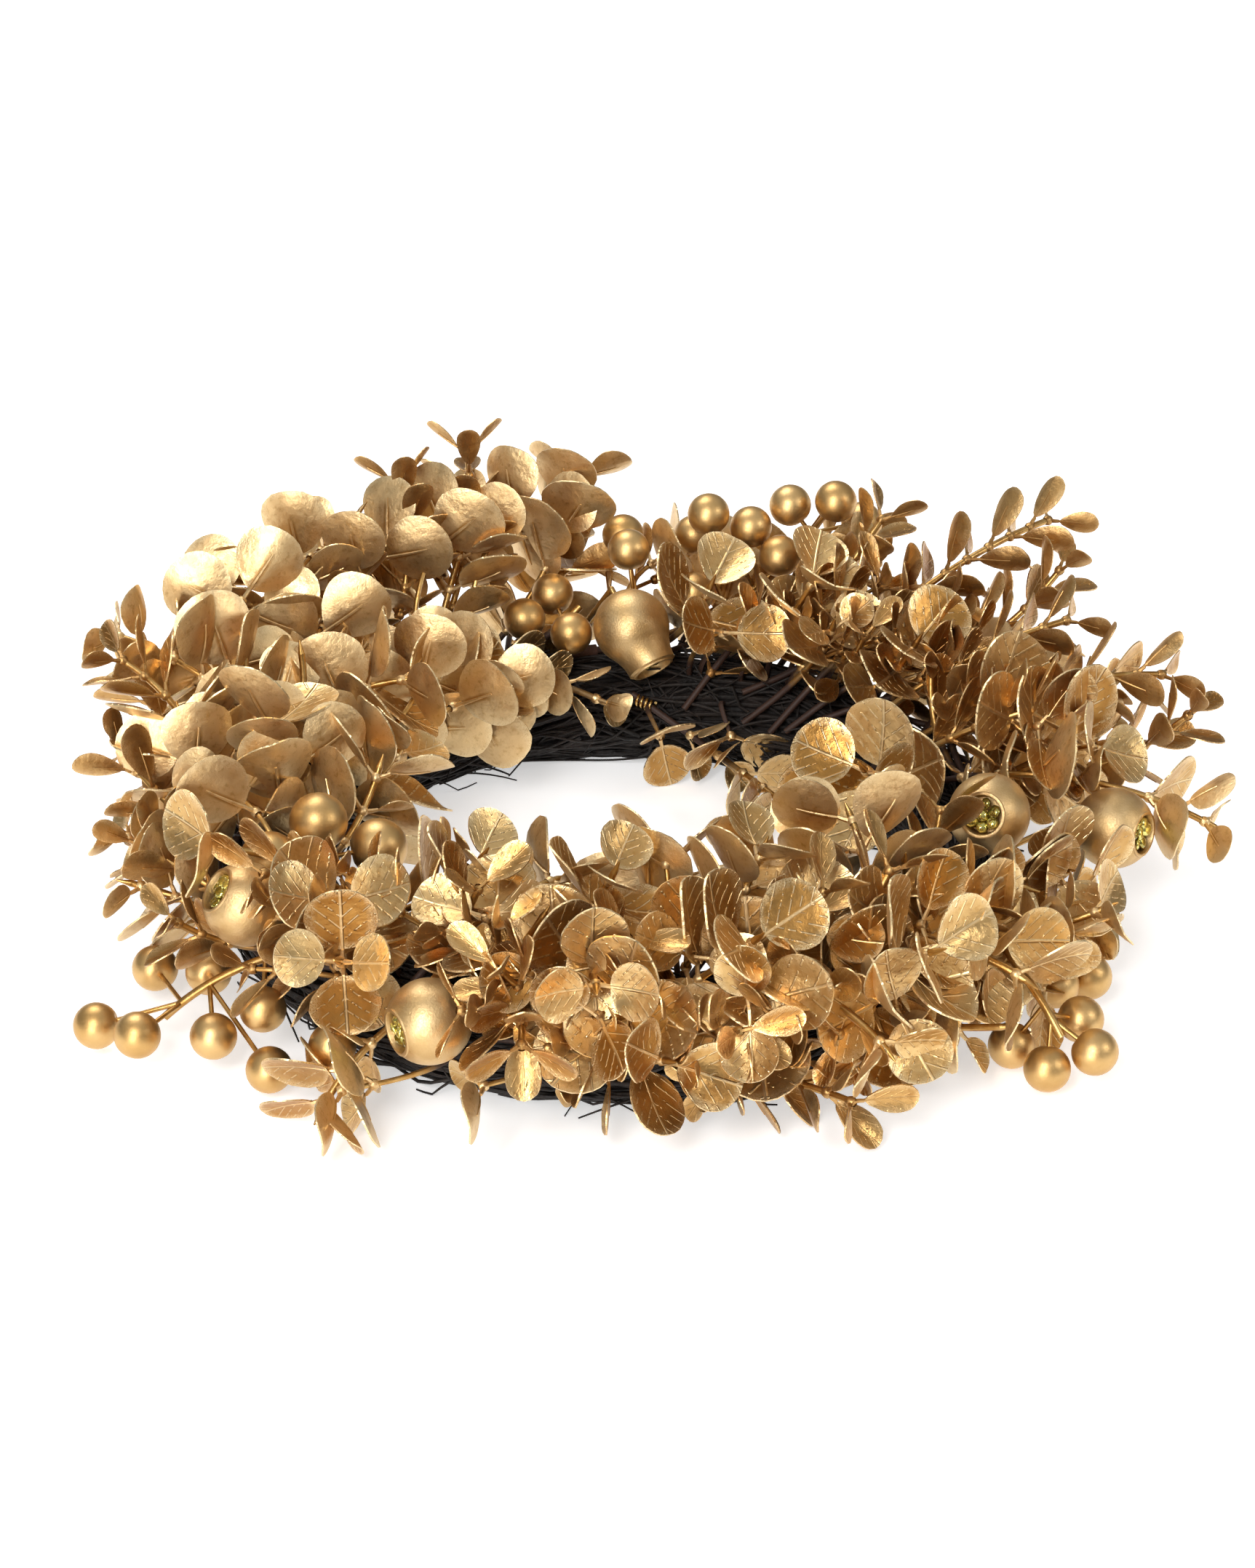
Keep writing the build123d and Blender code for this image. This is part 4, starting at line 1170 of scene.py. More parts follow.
@dataclass
class LeafFamily:
    """All leaves of one plant, set where the CAD's leaf pairs are.

    Args:
        plant: The plant, whose name starts the node names.
        blades: Blade variants.
        finish: Finish of the leaves.
        petiole: Length of the leaf stalk, in metres.
        collar_radius: Radius of the collar, in metres.
        collar_length: Length of the collar, in metres.
        stalk_radius: Radius of the leaf stalk, in metres.
        tilt: Largest random tilt of a leaf, in degrees.
        fullness: Length of a blade over its CAD blade's, because the rim, worn and painted bright
            as a highlight, stands proud.
        collar_sides: Sides of the collar.
        stalk_sides: Sides of the leaf stalk.
        stalk_bow: How far the leaf stalk bows, in metres.
    """

    plant: Plant
    blades: list[Blade]
    finish: GiltLeafFinish
    petiole: float
    collar_radius: float = 1.85 * MM
    collar_length: float = 2.8 * MM
    stalk_radius: float = 0.75 * MM
    tilt: float = 5.0
    fullness: float = 1.1
    collar_sides: int = 8
    stalk_sides: int = 6
    stalk_bow: float = 0.2 * MM

    def __post_init__(self) -> None:
        """Take the places of the baubles from the CAD."""
        self.middles = bauble_middles()

    def nodes(self) -> list[str]:
        """Return the names of the plant's leaf nodes."""
        start = self.plant.value + "_leaves_"
        return sorted(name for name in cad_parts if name.startswith(start))

    def model_collar(self) -> Stamp:
        """Model the collar: a short sleeve with a rounded bulge, along Z.

        Returns:
            The collar as a stamp.
        """
        deselect()
        bpy.ops.mesh.primitive_circle_add(vertices=self.collar_sides,
                                          radius=self.collar_radius * 0.72)
        piece = bpy.context.active_object
        bpy.ops.object.mode_set(mode="EDIT")
        bpy.ops.mesh.select_all(action="SELECT")
        third = self.collar_length / 3
        bpy.ops.transform.translate(value=(0, 0, -self.collar_length / 2))
        extrude_ring((0, 0, third), 1.35)
        extrude_ring((0, 0, third), 1.0)
        extrude_ring((0, 0, third), 0.7)
        close_skin(end_face=False)
        return Stamp.lift(piece)

    def model_stalk(self) -> Stamp:
        """Model the leaf stalk: a bowed taper along X, from the collar to the blade's base.

        Returns:
            The stalk as a stamp.
        """
        deselect()
        bpy.ops.mesh.primitive_circle_add(vertices=self.stalk_sides,
                                          radius=self.stalk_radius * 1.25,
                                          rotation=(0, math.pi / 2, 0))
        piece = bpy.context.active_object
        bpy.ops.object.transform_apply(location=False, rotation=True, scale=False)
        bpy.ops.object.mode_set(mode="EDIT")
        bpy.ops.mesh.select_all(action="SELECT")
        step = (self.petiole + self.collar_radius) / 3
        extrude_ring((step, 0, -self.stalk_bow), 0.85)
        extrude_ring((step, 0, 0.0), 0.9)
        extrude_ring((step, 0, self.stalk_bow), 0.9)
        close_skin(end_face=True)
        return Stamp.lift(piece)

    def build(self) -> None:
        """Model the blades once and set a copy on every leaf of every spray."""
        rng = np.random.default_rng(SEED)
        variants = [blade.model(rng) for blade in self.blades]
        collar, stalk = self.model_collar(), self.model_stalk()
        material = self.finish.material()
        for node in self.nodes():
            cluster = Cluster()
            for part in loose_parts(node):
                place = PairPlace.read(part, self.collar_radius * 1.1)
                self.add_pair(cluster, place, variants, (collar, stalk), rng)
            piece = cluster.build("gilt_" + node)
            smooth(piece, LEAF_SMOOTH)
            settle(piece, material, [node])

    def add_pair(self, cluster: Cluster, place: PairPlace, blades: list[list[Stamp]],
                 stamps: tuple[Stamp, Stamp], rng: np.random.Generator) -> None:
        """Add two opposite leaves on their collar.

        Args:
            cluster: Mesh to add to.
            place: Place of the pair.
            blades: Blade variants.
            stamps: Collar and leaf stalk.
            rng: Random source.
        """
        collar, stalk = stamps
        across = np.cross(place.heading, place.side)
        tone = rng.uniform(0, 1)
        cluster.add(collar, np.array([place.side, across, place.heading]), place.origin, tone)
        for flip in (1, -1):
            blade = blades[rng.integers(len(blades))]
            self.add_leaf(cluster, place, flip, blade, stalk, rng, tone)

    def add_leaf(self, cluster: Cluster, place: PairPlace, flip: int, blade: list[Stamp],
                 stalk: Stamp, rng: np.random.Generator, pair_tone: float) -> None:
        """Add one leaf with its stalk.

        Args:
            cluster: Mesh to add to.
            place: Place of the pair.
            flip: 1 or -1 for the side.
            blade: Blade and rib.
            stalk: Leaf stalk.
            rng: Random source.
            pair_tone: Tone of the pair.
        """
        axes = place.leaf_axes(flip)
        start = self.collar_radius + self.petiole
        length = (place.reach - start) * self.fullness
        tone = float(np.clip(pair_tone + rng.uniform(-0.2, 0.2), 0, 1))
        cluster.add(stalk, axes, place.origin, tone)
        roll, pitch = np.radians(rng.uniform(-self.tilt, self.tilt, 2))
        rolled = Matrix.Rotation(roll, 3, Vector(axes[0]))
        turn = np.array(rolled @ Matrix.Rotation(pitch, 3, Vector(axes[1])))
        base = place.origin + axes[0] * start
        turned = axes @ turn.T * length
        turned *= min(share_inside(stamp.points @ turned + base, base) for stamp in blade)
        turned *= min(share_clear(stamp.points @ turned + base, base, self.middles)
                      for stamp in blade)
        for stamp in blade:
            cluster.add(stamp, turned, base, tone)


@dataclass(frozen=True)
class SpraySpec:
    """A leafy side shoot that fills the dressing between the CAD's sprays.

    Args:
        seat: Angle round the ring and turn round the bundle where it is tucked in, in degrees.
        tip: Angle round the ring, reach out and rise of its tip, in degrees and millimetres.
        longest: Length of its largest leaves, in millimetres.
        pairs: Number of leaf pairs.
        spread: Angle between stem and leaf, in degrees.
        spin: Turn of its last pair about the stem, in degrees, or none for any turn.
        bow: How far the stem rises before it turns to its tip, as a share of its span.
    """

    seat: tuple[float, float]
    tip: Point
    longest: float
    pairs: int
    spread: float
    spin: float | None = None
    bow: float = STEM_BOW


@dataclass
class TubeSet:
    """Twigs or wires drawn as curves with a round section.

    Args:
        name: Name of the piece.
        section: Extra points of the section: 1 gives six sides, 2 gives eight.
        lines: Points and radii of each line.
    """

    name: str
    section: int = 1
    lines: list[tuple[np.ndarray, np.ndarray]] = field(default_factory=list)

    def add(self, points: np.ndarray, radii: np.ndarray) -> None:
        """Add a line.

        Args:
            points: Points along it, in metres.
            radii: Radius at each point, in metres.
        """
        self.lines.append((points, radii))

    def build(self) -> bpy.types.Object:
        """Turn the lines into one mesh.

        Returns:
            The object.
        """
        deselect()
        curve = bpy.data.curves.new(self.name, "CURVE")
        curve.dimensions = "3D"
        curve.bevel_depth = MM
        curve.bevel_resolution = self.section
        curve.use_fill_caps = True
        for points, radii in self.lines:
            spline = curve.splines.new("POLY")
            spline.points.add(len(points) - 1)
            weighted = np.column_stack([points, np.ones(len(points))])
            spline.points.foreach_set("co", weighted.ravel())
            spline.points.foreach_set("radius", radii / MM)
        piece = bpy.data.objects.new(self.name, curve)
        bpy.context.scene.collection.objects.link(piece)
        pick(piece)
        bpy.ops.object.convert(target="MESH")
        made = bpy.context.active_object
        smooth(made, ROUND_SMOOTH)
        return made


@dataclass
class TwigRing:
    """The wound ring: looped vines, fine twigs laid over them, and stray cut ends.

    Args:
        loops: Loops of the vine round the bundle.
        vine_radius: Radius of the CAD vine.
        strand_radius: Radius of each of the strands that follow it.
        strands: Strands side by side.
        twist: Turns of the strands about each other for each turn round the ring.
        fine: Number of fine twigs.
        fine_arc: Shortest and longest arc of a fine twig, in radians.
        fine_radius: Thinnest and thickest fine twig, in millimetres.
        stray: Number of stray ends.
        stray_run: Shortest and longest run of a stray end, in millimetres.
        stray_rise: Least and greatest rise of a stray end, in millimetres.
        stray_radius: Thinnest and thickest stray end, in millimetres.
        step: Distance between the points of a strand or fine twig.
        table_gap: Least room from a twig's skin to the table.
    """

    loops: int = 24
    vine_radius: float = 1.6 * MM
    strand_radius: float = 0.85 * MM
    strands: int = 2
    twist: float = 1.7
    fine: int = 300
    fine_arc: tuple[float, float] = (0.5, 2.2)
    fine_radius: tuple[float, float] = (0.35, 0.75)
    stray: int = 420
    stray_run: tuple[float, float] = (6.0, 32.0)
    stray_rise: tuple[float, float] = (1.5, 12.0)
    stray_radius: tuple[float, float] = (0.35, 0.65)
    step: float = 5.0 * MM
    table_gap: float = 0.3 * MM

    def __post_init__(self) -> None:
        """Take the ring's sizes from the CAD."""
        low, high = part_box("twig_core")
        self.centre = np.array([(low[axis] + high[axis]) / 2 for axis in range(3)])
        self.core_radius = (high[2] - low[2]) / 2
        self.ring_radius = (high[0] - low[0]) / 2 - self.core_radius
        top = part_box("vine_winding")[1][2]
        self.bundle_radius = top - self.centre[2]
        self.lay_radius = self.bundle_radius - self.vine_radius

    def spot(self, angle: np.ndarray, turn: np.ndarray, lay: np.ndarray) -> np.ndarray:
        """Return points on the bundle.

        Args:
            angle: Angle round the ring.
            turn: Angle round the bundle.
            lay: Distance from the bundle's middle.

        Returns:
            Points as rows.
        """
        reach = self.ring_radius + lay * np.cos(turn)
        level = (reach * np.cos(angle), reach * np.sin(angle))
        return np.column_stack([*level, lay * np.sin(turn)]) + self.centre

    def wander(self, rng: np.random.Generator, count: int, waves: int, size: float) -> np.ndarray:
        """Draw a smooth random walk, made of waves.

        Args:
            rng: Random source.
            count: Number of steps.
            waves: Number of waves.
            size: Usual height of the longest wave.

        Returns:
            The height at each step.
        """
        share = np.linspace(0, 1, count)
        total = np.zeros(count)
        for wave in range(1, waves + 1):
            height = rng.normal(0, size / wave)
            total += height * np.sin(2 * np.pi * wave * share + rng.uniform(0, 2 * np.pi))
        return total

    def add_strands(self, tubes: TubeSet, rng: np.random.Generator) -> None:
        """Add the strands that follow the CAD vine's loops.

        Args:
            tubes: Set to add to.
            rng: Random source.
        """
        count = int(2 * np.pi * self.ring_radius * self.loops / self.step)
        share = np.linspace(0.001, 0.999, count)
        angle = 2 * np.pi * share * self.loops
        turn = angle * (1 + 1 / self.loops)
        for strand in range(self.strands):
            phase = 2 * np.pi * strand / self.strands + angle * self.twist
            offset = self.strand_radius * 1.1
            sway = offset * np.cos(phase) / self.lay_radius + self.wander(rng, count, 160, 0.10)
            lay = self.lay_radius + offset * np.sin(phase) + self.wander(rng, count, 120, 0.9 * MM)
            lay = np.clip(lay, self.core_radius, self.bundle_radius - self.strand_radius * 0.5)
            radii = self.strand_radius * (1 + self.wander(rng, count, 80, 0.3)).clip(0.65, 1.35)
            tubes.add(self.lift(self.spot(angle, turn + sway, lay), radii), radii)

    def lift(self, points: np.ndarray, radii: np.ndarray) -> np.ndarray:
        """Raise points so that no twig goes below the table.

        Args:
            points: Points of a twig.
            radii: Its radius at each point.

        Returns:
            The raised points.
        """
        raised = points.copy()
        raised[:, 2] = np.maximum(raised[:, 2], radii + self.table_gap)
        return raised

    def add_fine(self, tubes: TubeSet, rng: np.random.Generator) -> None:
        """Add fine twigs that run along the ring and cross over the loops.

        Args:
            tubes: Set to add to.
            rng: Random source.
        """
        for _ in range(self.fine):
            arc = rng.uniform(*self.fine_arc)
            count = max(8, int(arc * self.ring_radius / self.step))
            start = rng.uniform(0, 2 * np.pi)
            angle = start + np.linspace(0, arc, count)
            turn = rng.uniform(0, 2 * np.pi) + rng.normal(0, 2.2) * np.linspace(0, 1, count)
            turn = turn + self.wander(rng, count, 4, 0.25)
            radius = rng.uniform(*self.fine_radius) * MM
            lay = self.bundle_radius + self.wander(rng, count, 5, 1.3 * MM)
            lay = lay - rng.uniform(-0.4, 0.8) * MM
            radii = radius * np.linspace(1.0, rng.uniform(0.5, 0.9), count)
            tubes.add(self.lift(self.spot(angle, turn, lay), radii), radii)

    def add_stray(self, tubes: TubeSet, rng: np.random.Generator) -> None:
        """Add cut ends that stand off the winding.

        Args:
            tubes: Set to add to.
            rng: Random source.
        """
        for _ in range(self.stray):
            count = 7
            share = np.linspace(0, 1, count)
            arc = rng.uniform(*self.stray_run) * MM / self.ring_radius * rng.choice([-1, 1])
            angle = rng.uniform(0, 2 * np.pi) + arc * share
            turn = rng.uniform(-0.6, 3.8) + rng.normal(0, 0.6) * share
            rise = rng.uniform(*self.stray_rise) * MM
            lay = self.bundle_radius - 0.8 * MM + rise * share ** 1.6
            radii = rng.uniform(*self.stray_radius) * MM * (1 - 0.45 * share)
            tubes.add(self.lift(self.spot(angle, turn, lay), radii), radii)

    def build(self) -> None:
        """Make the winding, the fine twigs and the stray ends, and dress the core under them."""
        rng = np.random.default_rng(SEED + 1)
        bark = BARK.material()
        winding = TubeSet("wound_vines")
        self.add_strands(winding, rng)
        settle(winding.build(), bark, ["vine_winding"])
        fine = TubeSet("fine_twigs")
        self.add_fine(fine, rng)
        self.add_stray(fine, rng)
        settle(fine.build(), bark, [])
        dress("twig_core", bark)


@dataclass
class SideShoots:
    """Side shoots of one plant: bent stems out of the winding, with leaf pairs set crosswise.

    Args:
        family: Leaves of the plant.
        shoots: The shoots, by name of the piece.
        ring: The twig ring that carries them.
        stem_radius: Radius of a stem at its foot.
        step: Distance between leaf pairs, in metres.
        step_share: Further distance as a share of the leaf's length.
        samples: Points along a stem.
        slimming: Radius of a stem's tip over its foot's.
        youngest: Size of the leaves at the tip over the largest.
        growth: How much each further pair is larger.
        bare: Share of a stem's length that has no leaves, from its foot.
    """

    family: LeafFamily
    shoots: dict[str, list[SpraySpec]]
    ring: TwigRing
    stem_radius: float = 1.05 * MM
    step: float = 5.5 * MM
    step_share: float = 0.24
    samples: int = 15
    slimming: float = 0.7
    youngest: float = 0.68
    growth: float = 0.18
    bare: float = 0.25

    def stem_points(self, shoot: SpraySpec) -> np.ndarray:
        """Bend a shoot's stem from inside the winding to its tip.

        Args:
            shoot: The shoot.

        Returns:
            Points along the stem.
        """
        angle, turn = np.radians(shoot.seat)
        lays = np.array([self.ring.lay_radius, 0.0])
        foot, middle = self.ring.spot(np.full(2, angle), np.full(2, turn), lays)
        about = math.radians(shoot.tip[0])
        reach = self.ring.ring_radius + shoot.tip[1] * MM
        level = [reach * math.cos(about), reach * math.sin(about), shoot.tip[2] * MM]
        tip = self.ring.centre + np.array(level)
        normal = (foot - middle) / np.linalg.norm(foot - middle)
        bend = foot + normal * shoot.bow * np.linalg.norm(tip - foot)
        share = np.linspace(0, 1, self.samples)[:, None]
        return foot * (1 - share) ** 2 + bend * 2 * share * (1 - share) + tip * share ** 2

    def add_pairs(self, cluster: Cluster, shoot: SpraySpec, points: np.ndarray,
                  blades: list[list[Stamp]], stamps: tuple[Stamp, Stamp],
                  rng: np.random.Generator) -> None:
        """Set a shoot's leaf pairs on its stem, from the tip down.

        Args:
            cluster: Mesh to add to.
            shoot: The shoot.
            points: Points of its stem.
            blades: Blade variants.
            stamps: Collar and leaf stalk.
            rng: Random source.
        """
        lengths = np.linalg.norm(np.diff(points, axis=0), axis=1)
        run = np.concatenate([[0], np.cumsum(lengths)])
        spot = run[-1] - 0.5 * MM
        spin = rng.uniform(0, np.pi) if shoot.spin is None else math.radians(shoot.spin)
        start = self.family.collar_radius + self.family.petiole
        for number in range(shoot.pairs):
            grown = min(1.0, self.youngest + self.growth * number) * rng.uniform(0.92, 1.04)
            length = shoot.longest * MM * grown
            if spot < self.bare * run[-1]:
                break
            origin, before = (np.array([np.interp(place, run, line) for line in points.T])
                              for place in (spot, spot - MM))
            axes = axes_along(origin - before, spin)
            spread = math.radians(shoot.spread + rng.uniform(-6, 6))
            place = PairPlace(origin, axes[0], axes[2], start + length, spread)
            self.family.add_pair(cluster, place, blades, stamps, rng)
            spin += np.pi / 2 + rng.uniform(-0.25, 0.25)
            spot -= self.step + self.step_share * length

    def build(self) -> None:
        """Build every group of shoots as one leafy piece and one piece of stems."""
        rng = np.random.default_rng(SEED + 5)
        blades = [blade.model(rng) for blade in self.family.blades]
        stamps = (self.family.model_collar(), self.family.model_stalk())
        leaf_gold, stem_gold = self.family.finish.material(), STEM_GOLD.material()
        for name, shoots in self.shoots.items():
            cluster = Cluster()
            tubes = TubeSet(f"shoot_stems_{name}")
            for shoot in shoots:
                points = self.stem_points(shoot)
                thin = self.stem_radius * self.slimming
                tubes.add(points, np.linspace(self.stem_radius, thin, self.samples))
                self.add_pairs(cluster, shoot, points, blades, stamps, rng)
            leaves = cluster.build(f"shoot_leaves_{name}")
            smooth(leaves, LEAF_SMOOTH)
            settle(leaves, leaf_gold, [])
            settle(tubes.build(), stem_gold, [])


def dress(node: str, finish: bpy.types.Material) -> None:
    """Give a carried-over CAD node a material.

    Args:
        node: Name of the node.
        finish: Its material.
    """
    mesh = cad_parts[node].data
    mesh.materials.clear()
    mesh.materials.append(finish)
    LOG.info("%s: CAD shape, %s", node, finish.name)


@dataclass
class Berries:
    """Satin berries, set where the CAD berries are.

    Args:
        segments: Faces round a berry.
        rings: Faces from stalk to tip.
        dimple: Depth of the stalk's dimple over the radius.
        squash: Height over width.
        foot_width: Width of the stalk's dimple over the radius.
        crown: Depth of the small dimple at the tip over the radius.
        crown_width: Width of that dimple over the radius.
    """

    segments: int = 28
    rings: int = 16
    dimple: float = 0.14
    squash: float = 0.985
    foot_width: float = 0.22
    crown: float = 0.03
    crown_width: float = 0.12

    def model(self) -> Stamp:
        """Model one berry of unit radius, stalk at -Z.

        Returns:
            The berry as a stamp.
        """
        deselect()
        bpy.ops.mesh.primitive_uv_sphere_add(segments=self.segments, ring_count=self.rings,
                                             radius=1.0)
        piece = bpy.context.active_object
        points = vertex_array(piece.data)
        around = np.hypot(points[:, 0], points[:, 1])
        foot = np.where(points[:, 2] < 0, np.exp(-(around / self.foot_width) ** 2), 0)
        crown = np.where(points[:, 2] > 0, np.exp(-(around / self.crown_width) ** 2), 0)
        points[:, 2] = points[:, 2] * self.squash + foot * self.dimple - crown * self.crown
        set_vertices(piece.data, points)
        return Stamp.lift(piece)

    def build(self) -> None:
        """Set a copy on each berry of each pick."""
        stamp = self.model()
        rng = np.random.default_rng(SEED + 2)
        material = BERRY_GOLD.material()
        for node in sorted(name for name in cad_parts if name.startswith("berries_")):
            cluster = Cluster()
            for part in loose_parts(node):
                middle = part.middle()
                offset = part.points - middle
                reach = np.linalg.norm(offset, axis=1)
                radius = float(np.percentile(reach, 98))
                inner = offset[reach < 0.8 * radius]
                foot = inner.mean(axis=0) if len(inner) else np.array([0, 0, -1.0])
                axes = axes_along(-foot, rng.uniform(0, 2 * np.pi))
                cluster.add(stamp, axes * radius, middle, rng.uniform(0, 1))
            piece = cluster.build("satin_" + node)
            smooth(piece, ROUND_SMOOTH)
            settle(piece, material, [node])


def axes_along(heading: np.ndarray, spin: float) -> np.ndarray:
    """Return three axes as rows, the third along a heading.

    Args:
        heading: Direction of the third axis.
        spin: Turn about it in radians.

    Returns:
        The axes.
    """
    third = heading / np.linalg.norm(heading)
    helper = np.array([1.0, 0, 0]) if abs(third[0]) < 0.8 else np.array([0, 1.0, 0])
    first = np.cross(helper, third)
    first /= np.linalg.norm(first)
    second = np.cross(third, first)
    turned = first * math.cos(spin) + second * math.sin(spin)
    return np.array([turned, np.cross(third, turned), third])


@dataclass
class Baubles:
    """Jewelled baubles: a frosted ball with a lipped mouth, and a bed of faceted stones in it.

    Args:
        radius: Radius of a ball.
        mouth_radius: Radius of the mouth.
        well_depth: Depth of the mouth.
        lip: Width of the lip.
        shoulder: Where the fig's flank leaves its ball, in degrees from the waist.
        neck_radius: Radius of the fig's neck.
        hollow: How far the fig's flank draws in.
        stones: Rings of stones, as number and distance from the middle.
        stone_radius: Radius of a stone.
        stone_sides: Sides of a stone.
        girdle: Height of a stone's girdle.
        segments: Faces round a ball.
        rings: Faces from the back of a ball to its front.
        neck_steps: Steps along the fig's flank.
    """

    radius: float = 13.0 * MM
    mouth_radius: float = 6.25 * MM
    well_depth: float = 5.0 * MM
    lip: float = 1.3 * MM
    shoulder: float = 35.0
    neck_radius: float = 8.5 * MM
    hollow: float = 0.6 * MM
    stones: tuple[tuple[int, float], ...] = ((1, 0.0), (6, 3.75 * MM))
    stone_radius: float = 2.3 * MM
    stone_sides: int = 7
    girdle: float = 0.5 * MM
    segments: int = 48
    rings: int = 28
    neck_steps: int = 6

    def model_body(self, front: float) -> bpy.types.Object:
        """Model a body with its mouth at +Z.

        Args:
            front: Height of the mouth above the ball's middle; a fig's lies beyond its ball.

        Returns:
            The object.
        """
        deselect()
        bpy.ops.mesh.primitive_uv_sphere_add(segments=self.segments, ring_count=self.rings,
                                             radius=self.radius)
        piece = bpy.context.active_object
        outer = self.mouth_radius + self.lip
        cut = math.sqrt(self.radius ** 2 - outer ** 2)
        drawn_out = front > self.radius
        if drawn_out:
            cut = self.radius * math.sin(math.radians(self.shoulder))
        bpy.ops.object.mode_set(mode="EDIT")
        bpy.ops.mesh.select_all(action="SELECT")
        bpy.ops.mesh.bisect(plane_co=(0, 0, cut), plane_no=(0, 0, 1), clear_outer=True)
        if drawn_out:
            self.draw_neck(front - cut)
        brow, crest, inner = outer - 0.15 * MM, outer - 0.5 * MM, self.mouth_radius + 0.2 * MM
        extrude_ring((0, 0, 0.5 * MM), brow / outer)
        extrude_ring((0, 0, 0.15 * MM), crest / brow)
        extrude_ring((0, 0, -0.1 * MM), inner / crest)
        extrude_ring((0, 0, -0.5 * MM), self.mouth_radius / inner)
        extrude_ring((0, 0, -self.well_depth), 0.9)
        close_skin(end_face=True)
        return piece

    def draw_neck(self, rise: float) -> None:
        """Draw the open edge of a ball out to the fig's neck, ending as wide as the mouth's lip.

        Args:
            rise: Height from the edge to the mouth.
        """
        wide = self.radius * math.cos(math.radians(self.shoulder))
        before = wide
        flank = rise - 1.2 * MM
        for step in range(1, self.neck_steps + 1):
            share = step / self.neck_steps
            width = wide + (self.neck_radius - wide) * share - self.hollow * 4 * share * (1 - share)
            extrude_ring((0, 0, flank / self.neck_steps), width / before)
            before = width
        outer = self.mouth_radius + self.lip
        extrude_ring((0, 0, 0.5 * MM), outer / before)

    def model_stone(self) -> Stamp:
        """Model one faceted stone, table at +Z.

        Returns:
            The stone as a stamp.
        """
        deselect()
        bpy.ops.mesh.primitive_cylinder_add(vertices=self.stone_sides, radius=self.stone_radius,
                                            depth=self.girdle, end_fill_type="NGON")
        piece = bpy.context.active_object
        bpy.ops.object.mode_set(mode="EDIT")
        for sign, shrink, rise in ((1, 0.55, 0.75 * MM), (-1, 0.25, 1.1 * MM)):
            bpy.ops.mesh.select_all(action="DESELECT")
            bpy.ops.object.mode_set(mode="OBJECT")
            for face in piece.data.polygons:
                face.select = face.normal.z * sign > 0.9
            bpy.ops.object.mode_set(mode="EDIT")
            move = {"value": (0, 0, sign * rise)}
            bpy.ops.mesh.extrude_region_move(TRANSFORM_OT_translate=move)
            bpy.ops.transform.resize(value=(shrink, shrink, 1))
        bpy.ops.object.mode_set(mode="OBJECT")
        return Stamp.lift(piece)

    def build(self) -> None:
        """Set a body and a bed of stones where each CAD bauble is."""
        rng = np.random.default_rng(SEED + 3)
        stone = self.model_stone()
        gold, gem = BAUBLE_GOLD.material(), STONE.material()
        for name in bauble_names():
            body, bed = loose_parts("bauble_" + name), loose_parts("stones_" + name)
            points = np.vstack([part.points for part in body])
            gems = np.vstack([part.points for part in bed])
            heading, centre = self.read_axis(points, gems)
            along = (points - centre) @ heading
            self.place_body(name, centre, heading, float(along.max()), gold)
            level = float(((gems - centre) @ heading).mean())
            self.place_stones(name, centre, heading, level, stone, gem, rng)

    def read_axis(self, points: np.ndarray, gems: np.ndarray) -> tuple[np.ndarray, np.ndarray]:
        """Find a bauble's axis and its ball's middle.

        Args:
            points: Vertices of the body.
            gems: Vertices of its stones.

        Returns:
            The direction of the mouth and the middle of the ball.
        """
        bed = (gems.min(axis=0) + gems.max(axis=0)) / 2
        centre = bed.copy()
        for _ in range(60):
            reach = np.linalg.norm(points - centre, axis=1)
            error = np.abs(reach - self.radius)
            chosen = points[error < max(0.3 * MM, np.percentile(error, 60))]
            system = np.column_stack([2 * chosen, np.ones(len(chosen))])
            answer = np.linalg.lstsq(system, (chosen ** 2).sum(axis=1), rcond=None)[0]
            centre = answer[:3]
        heading = (bed - centre) / np.linalg.norm(bed - centre)
        back = float(((points - centre) @ heading).min())
        return heading, centre + heading * (back + self.radius)

    def place_body(self, name: str, centre: np.ndarray, heading: np.ndarray, front: float,
                   gold: bpy.types.Material) -> None:
        """Put a modelled body in its place.

        Args:
            name: Name of the bauble.
            centre: Middle of the ball.
            heading: Direction of the mouth.
            front: Height of the mouth above the middle.
            gold: Its material.
        """
        piece = self.model_body(front)
        points = vertex_array(piece.data) @ axes_along(heading, 0.0) + centre
        set_vertices(piece.data, points)
        piece.name = "frosted_bauble_" + name
        smooth(piece, LIP_SMOOTH)
        settle(piece, gold, ["bauble_" + name])

    def place_stones(self, name: str, centre: np.ndarray, heading: np.ndarray, level: float,
                     stone: Stamp, gem: bpy.types.Material, rng: np.random.Generator) -> None:
        """Fill a mouth with stones.

        Args:
            name: Name of the bauble.
            centre: Middle of the ball.
            heading: Direction of the mouth.
            level: Height of the bed above the middle.
            stone: One stone.
            gem: Its material.
            rng: Random source.
        """
        cluster = Cluster()
        frame_axes = axes_along(heading, rng.uniform(0, 6.28))
        for count, reach in self.stones:
            for number in range(count):
                turn = 2 * np.pi * (number + rng.uniform(-0.15, 0.15)) / count
                rise = level + 1.2 * MM - 0.06 * reach + rng.uniform(-0.35, 0.35) * MM
                local = np.array([reach * math.cos(turn), reach * math.sin(turn), rise])
                lean = [frame_axes[axis] * rng.normal(0, 0.4) for axis in (0, 1)]
                tip = heading + lean[0] + lean[1]
                axes = axes_along(tip, rng.uniform(0, 6.28)) * rng.uniform(0.85, 1.12)
                cluster.add(stone, axes, centre + local @ frame_axes, rng.uniform(0, 1))
        piece = cluster.build("faceted_stones_" + name)
        settle(piece, gem, ["stones_" + name])


